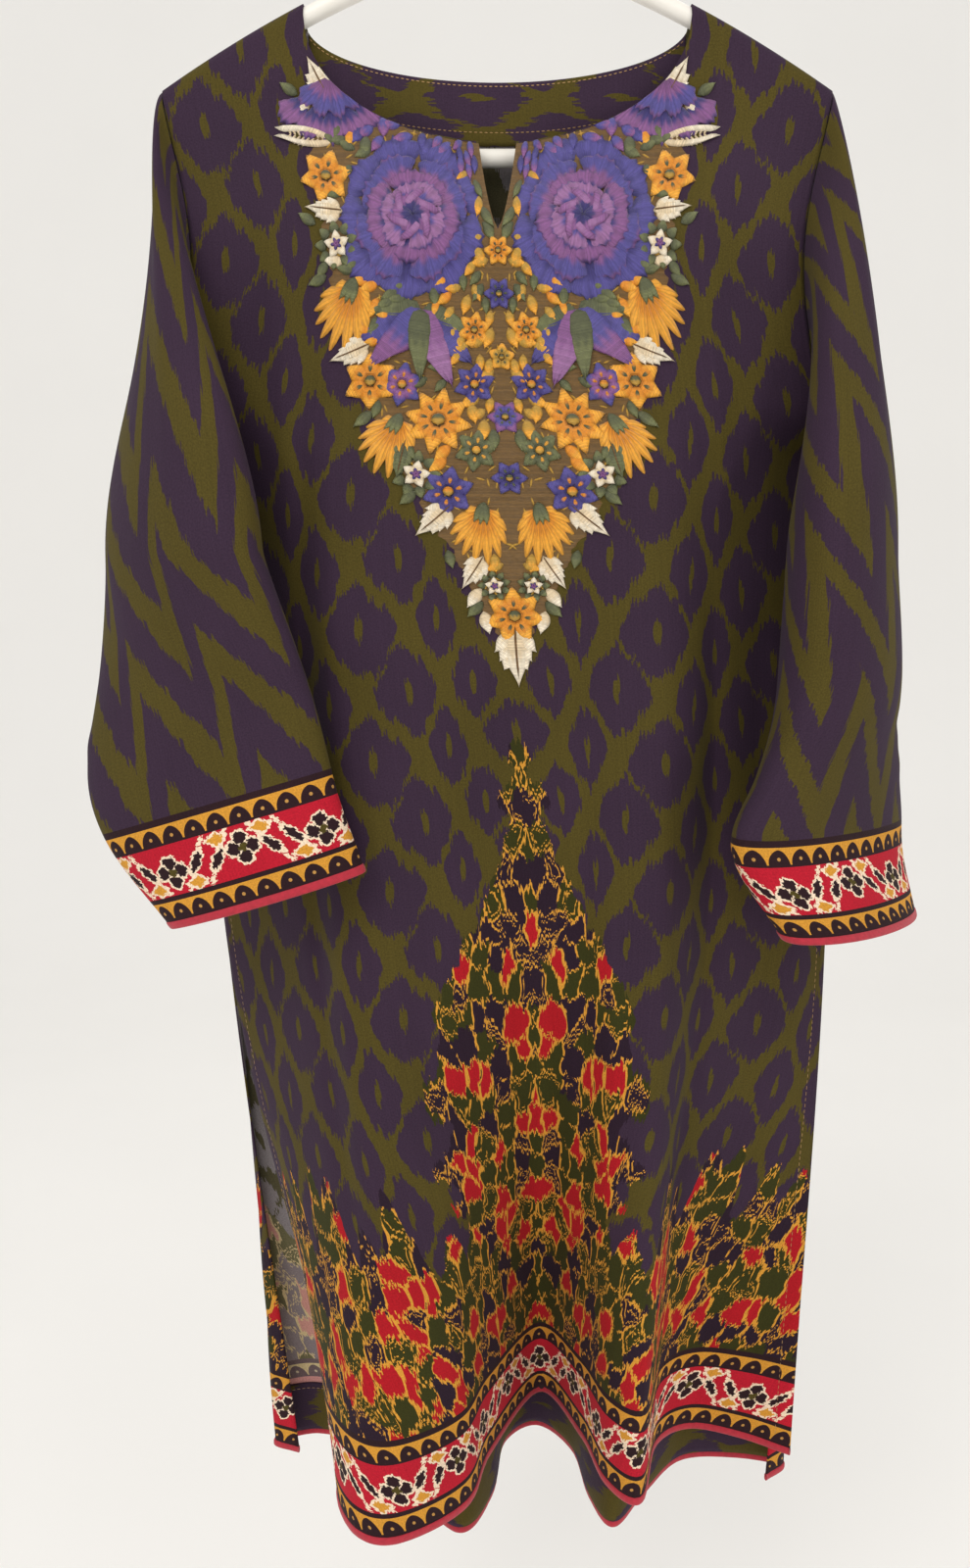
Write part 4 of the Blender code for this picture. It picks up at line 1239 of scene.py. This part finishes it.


# One stitched shape: half as wide as its profile says at each step along it, rounded across,
# with its edge waved by ruffle. Its colour goes from the first to the last in bands, with
# painted shade that darkens it towards its sides and ends. Angles turn clockwise from
# straight down.
def stitched(x, drop, angle, length, width, lift, rise, colours, shape="petal", ruffle=0.0,
             waves=3, bend=0.0, fine=False, small=False):
    rows, columns = (17, 15) if fine else (5, 4) if small else (10, 7)
    t = np.linspace(0, 1, rows)[:, None]
    s = np.linspace(-1, 1, columns)[None, :]
    tip = np.clip((t - 0.72) / 0.28, 0, 1)
    profiles = {
        "petal": np.sin(math.pi * np.clip(t, 0, 1) ** 0.62) ** 0.62,
        "leaf": np.sin(math.pi * t**0.85) ** 0.85,
        "fan": (0.10 + 0.90 * t**0.8) * (1 - 0.30 * tip**2),
        "strip": np.sqrt(np.clip(1 - (2 * t - 1) ** 6, 0, 1)),
        "round": np.sqrt(np.clip(1 - (2 * t - 1) ** 2, 0, 1)),
    }
    half = profiles[shape] * width / 2
    scallop = ruffle * t * np.cos(waves * math.pi * s)
    roundEnd = (0.30 if shape == "fan" else 0.10) * s**2 * t
    along = t * length * (1 - roundEnd + scallop)
    sideways = s * half * (1 + 0.5 * ruffle * np.cos(waves * 2.3 * math.pi * t))
    sideways = sideways + bend * length * t * t
    a = math.radians(angle)
    px = x + np.sin(a) * along + np.cos(a) * sideways
    py = drop + np.cos(a) * along - np.sin(a) * sideways
    dome = np.sqrt(np.clip(1 - s**2, 0, 1)) ** 0.6
    ends = np.clip(np.sin(math.pi * t), 0, 1) ** 0.35
    up = lift + rise * dome * ends - 0.0003 * (1 - dome * ends)
    up = up + 0.16 * rise * np.cos(waves * 2 * math.pi * s) * t
    first, last = np.array(colours[0]), np.array(colours[1])
    band = np.clip((t + 0.07 * np.cos(3 * math.pi * s + 9 * x / 0.01) - 0.42) / 0.16, 0, 1)
    rim = np.clip((t - 0.86) / 0.08, 0, 1) * (1.0 if fine else 0.0)
    blend = (band * (1 - rim) + 0.35 * rim)[..., None]
    tint = first * (1 - blend) + last * blend
    # Painted shade: darker towards the sides and ends, where the raised shape falls to the cloth.
    tint = tint * (0.60 + 0.40 * (dome * ends)[..., None] ** 0.7)
    if shape == "fan":
        cut = np.stack([along + 0 * s, s * width / 2 + 0 * t], axis=-1)
    else:
        cut = np.stack([sideways + 0 * t, along + 0 * s], axis=-1)
    patches.append((px, py, up + 0 * t, tint + 0 * px[..., None], cut))


def mirrored(make, x, drop, turn=0.0, **options):
    make(x, drop, 1, turn, **options)
    make(-x, drop, -1, turn, **options)


# A full ruffled bloom: rings of broad overlapping petals with scalloped ends, each ring
# smaller and higher, and curled strips at its heart. Petals are as wide as their share of
# the ring and a little more.
def fullBloom(x, drop, side, turn, size):
    rings = (
        (9, 0.50, 0.52, 0.0000, ("deep", "blue"), 0.0),
        (8, 0.34, 0.46, 0.0009, ("mauve", "blue"), 20.0),
        (7, 0.20, 0.42, 0.0017, ("deep", "mauve"), 5.0),
        (6, 0.09, 0.36, 0.0025, ("blue", "rose"), 33.0),
        (5, 0.00, 0.27, 0.0032, ("deep", "mauve"), 12.0),
    )
    for count, away, length, lift, colours, start in rings:
        pair = [silk[c] for c in colours]
        for k in range(count):
            angle = (k * 360 / count + start + turn + 6 * math.sin(3.1 * k + start)) * side
            reach = away * size * (1 + 0.06 * math.sin(2.3 * k + start))
            long = length * size * (1 + 0.09 * math.sin(1.7 * k + start))
            wide = 2 * math.pi * (away + length) * size / count * 1.16
            stitched(
                x + math.sin(math.radians(angle)) * reach,
                drop + math.cos(math.radians(angle)) * reach,
                angle, long, wide, yoke["lift"] + lift + 0.00025 * (k % 2), 0.0015, pair,
                "fan", 0.055, 5, 0.06 * side, True,
            )
    for k in range(6):
        angle = (k * 60 + 15) * side
        stitched(
            x + math.sin(math.radians(angle)) * 0.13 * size,
            drop + math.cos(math.radians(angle)) * 0.13 * size,
            angle + 80 * side, 0.34 * size, 0.11 * size, yoke["lift"] + 0.0042, 0.0009,
            (silk["rose"], silk["mauve"]), "strip", 0.0, 3, 0.25 * side,
        )


# Half a ruffled bloom: two fans of broad petals that hang from a point.
def halfBloom(x, drop, side, turn, size):
    for count, away, length, lift, colours in (
        (5, 0.40, 0.62, 0.0, ("deep", "mauve")),
        (4, 0.02, 0.60, 0.0012, ("mauve", "blue")),
    ):
        for k in range(count):
            angle = (turn - 62 + 124 * (k + 0.5) / count) * side
            reach = away * size
            wide = 2.3 * (away + length) * size / count * 1.2
            stitched(
                x + math.sin(math.radians(angle)) * reach,
                drop + math.cos(math.radians(angle)) * reach,
                angle, length * size, wide, yoke["lift"] + lift, 0.0014,
                [silk[c] for c in colours], "fan", 0.05, 4, 0.05 * side, True,
            )


# An open flower with a round heart.
def openFlower(x, drop, side, turn, size, petals=6, outer=("gold", "amber"), heart="moss",
               shape="petal"):
    pair = [silk[c] for c in outer]
    for k in range(petals):
        angle = (turn + k * 360 / petals) * side
        stitched(
            x + math.sin(math.radians(angle)) * size * 0.16,
            drop + math.cos(math.radians(angle)) * size * 0.16,
            angle, size * 0.86, size * 4.4 / petals, yoke["lift"], 0.0016, pair, shape, 0.05,
        )
        stitched(
            x + math.sin(math.radians(angle)) * size * 0.30,
            drop + math.cos(math.radians(angle)) * size * 0.30,
            angle, size * 0.42, size * 1.1 / petals, yoke["lift"] + 0.0014, 0.0006,
            (silk[heart], pair[0]), "leaf",
        )
    stitched(x, drop - size * 0.20, 0, size * 0.40, size * 0.40, yoke["lift"] + 0.0012, 0.0014,
             (silk[heart], silk["straw"]), "round")


# A tasselled blossom: a fan of narrow petals below a green cup.
def tassel(x, drop, side, turn, size):
    for k in range(11):
        spread = (k - 5) * 13.0
        angle = (turn + spread) * side
        long = size * (1 - 0.0016 * spread**2 / 10) * (1 + 0.06 * math.sin(5.1 * k))
        stitched(
            x, drop, angle, long, size * 0.235, yoke["lift"] + 0.00008 * (5 - abs(k - 5)),
            0.0014, (silk["gold"], silk["amber"]), "fan", 0.0, 2, 0.05 * side * (k - 5) / 5,
        )
    for k in (-1, 0, 1):
        stitched(
            x, drop - size * 0.12, (turn + 16 * k) * side, size * 0.44, size * 0.16,
            yoke["lift"] + 0.0013, 0.0012, (silk["moss"], silk["fern"]), "leaf",
        )


# A leaf in two halves with teeth along its edge and a vein between.
def toothedLeaf(x, drop, side, turn, size, colours=("cream", "ivory"), wide=0.46):
    pair = [silk[c] for c in colours]
    for k in range(6):
        way = -1 if k % 2 else 1
        base = 0.10 + 0.15 * (k // 2) * 2 / 2
        angle = (turn + way * (44 - 7 * (k // 2))) * side
        centre = math.radians(turn * side)
        stitched(
            x + math.sin(centre) * size * base, drop + math.cos(centre) * size * base,
            angle, size * wide * (1.0 - 0.10 * (k // 2)), size * 0.26, yoke["lift"] + 0.0002,
            0.0012, pair, "leaf",
        )
    stitched(x, drop, turn * side, size, size * 0.34, yoke["lift"] + 0.0005, 0.0014, pair,
             "leaf", 0.0, 3, 0.04 * side, True)
    stitched(x, drop, turn * side, size * 0.86, size * 0.035, yoke["lift"] + 0.0019, 0.0005,
             (silk["brown"], silk["brown"]), "strip", 0.0, 3, 0.04 * side)


# A bud in a green ring, cream inside with a mauve heart.
def ringedBud(x, drop, side, turn, size):
    for k in range(9):
        angle = (turn + k * 40) * side
        stitched(
            x + math.sin(math.radians(angle)) * size * 0.45,
            drop + math.cos(math.radians(angle)) * size * 0.45,
            angle, size * 0.52, size * 0.46, yoke["lift"], 0.0013,
            (silk["moss"], silk["fern"]), "petal", 0.03,
        )
    for k in range(5):
        angle = (turn + 20 + k * 72) * side
        stitched(
            x, drop, angle, size * 0.58, size * 0.42, yoke["lift"] + 0.0010, 0.0011,
            (silk["cream"], silk["ivory"]), "petal",
        )
    for k in range(5):
        angle = (turn + k * 72) * side
        stitched(
            x, drop, angle, size * 0.26, size * 0.15, yoke["lift"] + 0.0020, 0.0010,
            (silk["mauve"], silk["deep"]), "round",
        )


# A cup of three folded petals.
def tulip(x, drop, side, turn, size):
    for offset, length, width, pair, lift in (
        (-46, 0.92, 0.50, ("deep", "blue"), 0.0), (46, 0.92, 0.50, ("deep", "blue"), 0.0),
        (-24, 1.00, 0.44, ("mauve", "rose"), 0.0007), (26, 0.98, 0.44, ("blue", "mauve"), 0.0009),
        (0, 0.86, 0.34, ("moss", "fern"), 0.0015), (-70, 0.70, 0.34, ("moss", "fern"), -0.0002),
        (70, 0.70, 0.34, ("moss", "fern"), -0.0002),
    ):
        stitched(
            x, drop, (turn + offset) * side, size * length, size * width,
            yoke["lift"] + lift, 0.0016, [silk[c] for c in pair], "petal", 0.05, 3,
            0.16 * side * (1 if offset > 0 else -1), True,
        )


# A lacy leaf: a cream rim round slanting bars.
def laceLeaf(x, drop, side, turn, size):
    a = math.radians(turn * side)
    for way in (-1, 1):
        stitched(
            x, drop, (turn + way * 27) * side, size, size * 0.13, yoke["lift"] + 0.0004, 0.0012,
            (silk["cream"], silk["ivory"]), "strip", 0.0, 3, -0.42 * way * side,
        )
    for k in range(8):
        base = 0.18 + 0.085 * k
        for way in (-1, 1):
            stitched(
                x + math.sin(a) * size * base, drop + math.cos(a) * size * base,
                (turn + way * 58) * side, size * 0.24 * math.sin(math.pi * (0.2 + 0.09 * k)),
                size * 0.045, yoke["lift"], 0.0007, (silk["cream"], silk["cream"]), "strip",
            )


# Short straw-coloured stitches scattered between the flowers, in crossed pairs.
def sprinkle(x, drop, side, turn, size):
    for k in range(4):
        stitched(
            x, drop, (turn + 45 + 90 * k) * side, size, size * 0.30, yoke["lift"], 0.0010,
            (silk["straw"], silk["amber"]), "leaf",
        )


# The yoke's outer edge: how far across it reaches at a drop.
def yokeEdge(drop):
    return float(np.interp(
        drop,
        (0.040, 0.085, 0.130, 0.170, 0.205, 0.235, 0.262, 0.290, 0.320, 0.350, 0.380, 0.404),
        (0.124, 0.127, 0.124, 0.117, 0.106, 0.094, 0.080, 0.064, 0.046, 0.030, 0.015, 0.003),
    ))


mirrored(fullBloom, 0.0550, 0.1300, 8.0, size=0.0490)
mirrored(tulip, 0.0500, 0.184, 10.0, size=0.048)
mirrored(halfBloom, 0.1020, 0.0440, 0.0, size=0.0400)
large = [(0.0550, 0.130, 0.045), (0.047, 0.206, 0.020), (0.088, 0.060, 0.018)]
edgeMotifs = (
    (0.058, toothedLeaf, 0.030, 150.0), (0.082, laceLeaf, 0.034, 100.0),
    (0.104, openFlower, 0.017, 20.0), (0.126, toothedLeaf, 0.026, 95.0),
    (0.146, ringedBud, 0.0155, 10.0), (0.170, tassel, 0.040, 22.0),
    (0.204, toothedLeaf, 0.028, 66.0), (0.226, openFlower, 0.017, 0.0),
    (0.250, tassel, 0.034, 24.0), (0.282, ringedBud, 0.0150, 30.0),
    (0.300, toothedLeaf, 0.028, 46.0), (0.330, toothedLeaf, 0.024, 30.0),
)
for drop, make, size, turn in edgeMotifs:
    inset = 0.016 if make in (openFlower, ringedBud) else 0.024
    x = yokeEdge(drop) - inset
    mirrored(make, x, drop, turn, size=size)
    reach = size * (1.0 if make in (openFlower, ringedBud) else 0.55)
    a = math.radians(turn)
    forward = 0.0 if make in (openFlower, ringedBud) else size * 0.5
    large.append((x + math.sin(a) * forward, drop + math.cos(a) * forward, reach))
inner = (
    (0.0400, 0.250, openFlower, 0.0205, dict(petals=8)),
    (0.0175, 0.228, openFlower, 0.0130, dict(petals=6, outer=("deep", "blue"), heart="gold")),
    (0.0180, 0.268, openFlower, 0.0125, dict(petals=6, outer=("moss", "fern"), heart="amber")),
    (0.0350, 0.292, openFlower, 0.0150, dict(petals=6, outer=("deep", "blue"), heart="gold")),
    (0.0165, 0.196, openFlower, 0.0110, dict(petals=6)),
    (0.0620, 0.228, openFlower, 0.0135, dict(petals=6, outer=("mauve", "blue"), heart="gold")),
    (0.0580, 0.262, toothedLeaf, 0.0240, dict(colours=("moss", "fern"))),
    (0.0150, 0.302, tassel, 0.0330, dict()),
    (0.0110, 0.348, ringedBud, 0.0100, dict()),
)
for x, drop, make, size, more in inner:
    mirrored(make, x, drop, 12.0, size=size, **more)
    large.append((x, drop, size * 0.95))
for drop, size, petalCount, colours in (
    (0.150, 0.0095, 6, ("gold", "amber")), (0.175, 0.0100, 6, ("deep", "blue")),
    (0.212, 0.0085, 5, ("straw", "amber")), (0.248, 0.0110, 6, ("blue", "mauve")),
    (0.284, 0.0105, 6, ("deep", "blue")), (0.366, 0.0175, 7, ("gold", "amber")),
):
    openFlower(0.0, drop, 1, 30.0, size, petalCount, colours, "moss")
    large.append((0.0, drop, size))
toothedLeaf(0.0, 0.372, 1, 0.0, 0.038)
large.append((0.0, 0.388, 0.016))

# Small leaves and petals wherever a larger motif leaves room, pointing down and outwards.
# Near the neckline they are violet, at the outer edge cream and green, in the middle gold.
chance = np.random.default_rng(11)
placed = []
for attempt in range(6000):
    drop = chance.uniform(0.045, 0.385)
    x = chance.uniform(0.004, 0.126)
    edge = yokeEdge(drop)
    top = float(topEdge(np.array(x / body["shoulderHalf"]), body["frontNeck"]))
    if x > edge - 0.003 or drop < top + 0.003:
        continue
    if x < 0.006 and drop < body["slitBottom"] + 0.004:
        continue
    if any(math.hypot(x - a, drop - b) < r for a, b, r in large):
        continue
    if any(math.hypot(x - a, drop - b) < 0.0062 for a, b in placed):
        continue
    placed.append((x, drop))
    outer = x > edge - 0.020
    if drop < top + 0.022:
        pair = ("blue", "mauve") if chance.random() < 0.7 else ("deep", "blue")
    elif outer:
        pair = ("cream", "ivory") if chance.random() < 0.55 else ("moss", "fern")
    elif x < 0.030:
        pair = ("straw", "amber") if chance.random() < 0.75 else ("moss", "fern")
    else:
        pair = ("moss", "fern") if chance.random() < 0.5 else ("gold", "amber")
    angle = 20 + 60 * x / 0.12 + chance.uniform(-55, 55)
    long = chance.uniform(0.011, 0.015)
    for side in (-1, 1):
        stitched(
            side * x, drop - long * 0.4, angle * side, long, long * 0.52, yoke["lift"] + 0.0002,
            0.0012, [silk[c] for c in pair], "leaf",
        )

# Straw stitches scattered over the ground.
for attempt in range(420):
    drop = chance.uniform(0.060, 0.380)
    x = chance.uniform(0.002, 0.110)
    angle = chance.uniform(-80, 80)
    long = chance.uniform(0.005, 0.008)
    if x > yokeEdge(drop) - 0.013 or (x < 0.008 and drop < body["slitBottom"] + 0.006):
        continue
    for side in (-1, 1):
        stitched(
            side * x, drop, angle * side, long, 0.0015, yoke["lift"] - 0.0002, 0.0007,
            [silk["straw"], silk["straw"]], "strip", small=True,
        )
print("stitched shapes:", len(patches))


# All the shapes in a list as one mesh on the front.
def patchMesh(name, chosen):
    points, faces, cuts, shadedTints = [], [], [], []
    count = 0
    for px, py, up, tint, cut in chosen:
        quads, corners = gridQuads(*px.shape)
        points.append(np.stack([px, py, up], axis=-1).reshape(-1, 3))
        faces.append(quads + count)
        cuts.append(cut.reshape(-1, 2)[quads.ravel()])
        # These colours carry the painted shade at each shape's sides and ends.
        shadedTints.append(tint.reshape(-1, 3))
        count += px.size
    flat = np.concatenate(points)
    placed = onYoke(flat[:, 0], flat[:, 1], flat[:, 2])
    made = meshObject(
        name, placed, np.concatenate(faces), np.concatenate(cuts), np.concatenate(shadedTints)
    )
    return made


half = len(patches) // 2
embroideryA = patchMesh("silkFlowersUpper", patches[:half])
embroideryB = patchMesh("silkFlowersLower", patches[half:])
finished(embroideryA, [silkThread], "embroidery")
finished(embroideryB, [silkThread], "embroidery")


# The brown ground between the flowers: one sheet each side of the middle, wavy at its edge,
# which stays under the motifs.
def yokeGround():
    parts = []
    t = np.linspace(0, 1, 50)[None, :]
    drop = np.linspace(0.050, 0.386, 170)
    reach = np.array([yokeEdge(d) for d in drop])
    reach = reach - 0.0075 + 0.0016 * np.sin(drop * 420) + 0.0010 * np.sin(drop * 990 + 1)
    reach = np.maximum(reach, 0.004)
    x = np.sqrt(np.clip(1 - ((drop - 0.0012) / body["frontNeck"]) ** 2, 0, 1))
    neck = np.where(drop < body["frontNeck"], x * body["neckHalf"] * 0.985, 0.0)
    neck = np.minimum(neck, reach - 0.004)
    for side in (-1, 1):
        across = neck[:, None] + (reach - neck)[:, None] * t
        xs = side * np.maximum(across, 1e-7)
        down = drop[:, None] + 0 * t
        lift = 0.0010 * np.ones_like(xs)
        lift[:, -1] = 0.0004
        lift[-1] = 0.0004
        points = onYoke(xs, down, lift)
        quads, corners = gridQuads(*xs.shape)
        if side < 0:
            quads = quads[:, ::-1]
        cut = np.stack([xs, down], axis=-1).reshape(-1, 2)
        parts.append((points.reshape(-1, 3), quads, cut[quads.ravel()]))
    count = len(parts[0][0])
    return meshObject(
        "yokeGround",
        np.concatenate([parts[0][0], parts[1][0]]),
        np.concatenate([parts[0][1], parts[1][1] + count]),
        np.concatenate([parts[0][2], parts[1][2]]),
    )


ground = yokeGround()
finished(ground, [groundThread], "embroidery", "neck_yoke")
print("yoke made")


# ---- Stitch lines

# Rows of small stitches: each is a short rounded bar lying along a line of points.
def stitchRow(name, line, normals, length, gap, radius):
    along = np.concatenate([[0], np.cumsum(np.linalg.norm(np.diff(line, axis=0), axis=1))])
    starts = np.arange(0.001, along[-1] - length, length + gap)

    def place(values, at):
        return np.stack([np.interp(at, along, values[:, k]) for k in range(3)], axis=1)

    steps = np.linspace(0, 1, 4)
    girth = np.array([0.35, 1.0, 1.0, 0.35])
    turn = np.linspace(0, 2 * math.pi, 7)[:-1]
    rings = []
    for step, size in zip(steps, girth):
        middle = place(line, starts + step * length)
        out = place(normals, starts + step * length)
        out /= np.linalg.norm(out, axis=1, keepdims=True)
        ahead = place(line, starts + length) - place(line, starts)
        ahead /= np.linalg.norm(ahead, axis=1, keepdims=True)
        side = np.cross(ahead, out)
        ring = middle[:, None] + radius * size * (
            out[:, None] * np.sin(turn)[None, :, None] * 0.8
            + side[:, None] * np.cos(turn)[None, :, None]
        )
        rings.append(ring)
    grid = np.stack(rings, axis=1)
    quads, corners = gridQuads(4, 6, closed=True)
    faces = (quads[None] + (np.arange(len(starts)) * 24)[:, None, None]).reshape(-1, 4)
    cut = np.stack(
        np.meshgrid(np.linspace(0, length, 4), np.linspace(0, 0.002, 7), indexing="ij"), axis=-1
    ).reshape(-1, 2)
    cuts = np.tile(cut[corners.ravel()], (len(starts), 1))
    made = meshObject(name, grid.reshape(-1, 3), faces, cuts)
    return finished(made, [stitchThread], "embroidery")


lift = np.full(len(neckShares), facing["lift"] - facing["wall"] / 2 - 0.0001)
for name, depth in (("neckStitchesUpper", 0.0022), ("neckStitchesLower", 0.0285)):
    line = back.lifted(neckShares, neckTop + depth, lift)
    stitchRow(name, line, -back.normal(neckShares, neckTop + depth), 0.0021, 0.0011, 0.00028)
lift = np.full(len(everyShare), facing["lift"] - facing["wall"] / 2 - 0.0001)
line = back.lifted(everyShare, hemLine - 0.0375, lift)
stitchRow("hemStitches", line, -back.normal(everyShare, hemLine - 0.0375), 0.0026, 0.0012, 0.00026)
for side, name in ((-1, "right"), (1, "left")):
    drops = np.linspace(body["sideSlit"] + 0.004, front.length - 0.012, 90)
    shares = np.full(90, side * 0.965)
    line = front.lifted(shares, drops, np.full(90, 0.0007))
    stitchRow(name + "SlitStitches", line, front.normal(shares, drops), 0.0028, 0.0014, 0.0002)
print("stitches made")


# ---- Studio

def makeStudio():
    material = bpy.data.materials.new("paleFloor")
    material.use_nodes = True
    tree = material.node_tree
    shader = tree.nodes["Principled BSDF"]
    place = addNode(tree, "ShaderNodeTexCoord").outputs["Object"]
    cloud = addNode(tree, "ShaderNodeTexNoise", {"Vector": place, "Scale": 3.0}).outputs[0]
    tree.links.new(
        mixed(tree, cloud, hexColour("#f4f3f1"), hexColour("#f8f7f5")),
        shader.inputs["Base Color"],
    )
    shader.inputs["Roughness"].default_value = 0.9
    turn = np.linspace(0, math.pi / 2, 12)
    y = np.concatenate([[-7.0], 2.2 + 1.2 * np.sin(turn), [3.4]])
    z = np.concatenate([[-1.42], -0.22 - 1.2 * np.cos(turn), [5.0]])
    x = np.linspace(-7, 7, 3)
    grid = np.stack(
        [np.tile(x, (len(y), 1)), np.tile(y[:, None], (1, 3)), np.tile(z[:, None], (1, 3))],
        axis=-1,
    )
    quads, corners = gridQuads(len(y), 3)
    floor = meshObject("studioFloor", grid.reshape(-1, 3), quads)
    floor.data.materials.append(material)
    world = bpy.data.worlds.new("studioWorld")
    bpy.context.scene.world = world
    world.use_nodes = True
    world.node_tree.nodes["Background"].inputs[0].default_value = (1.0, 0.985, 0.96, 1)
    world.node_tree.nodes["Background"].inputs[1].default_value = 0.80
    lamps = (
        ("keyLight", (-0.9, -2.3, 1.3), (58, 0, -21), 1.5, 30.0),
        ("fillLight", (1.6, -1.9, 0.1), (86, 0, 40), 1.6, 8.0),
        ("rimLight", (0.4, 1.8, 1.4), (-50, 0, 0), 1.4, 10.0),
    )
    for name, place, turn, size, power in lamps:
        light = bpy.data.lights.new(name, "AREA")
        light.size = size
        light.energy = power
        light.color = (1.0, 0.97, 0.93)
        lamp = bpy.data.objects.new(name, light)
        lamp.location = place
        lamp.rotation_euler = [math.radians(a) for a in turn]
        bpy.context.scene.collection.objects.link(lamp)
    camera = bpy.data.cameras.new("photoCamera")
    camera.lens = 31.5
    camera.sensor_width = 36
    camera.clip_start = 0.02
    seat = bpy.data.objects.new("photoCamera", camera)
    seat.location = (-0.0075, -0.885, -0.472)
    seat.rotation_euler = (math.radians(90 - 7.6), 0, 0)
    bpy.context.scene.collection.objects.link(seat)
    bpy.context.scene.camera = seat
    bpy.context.scene.view_settings.view_transform = "Standard"


makeStudio()
print("studio made")
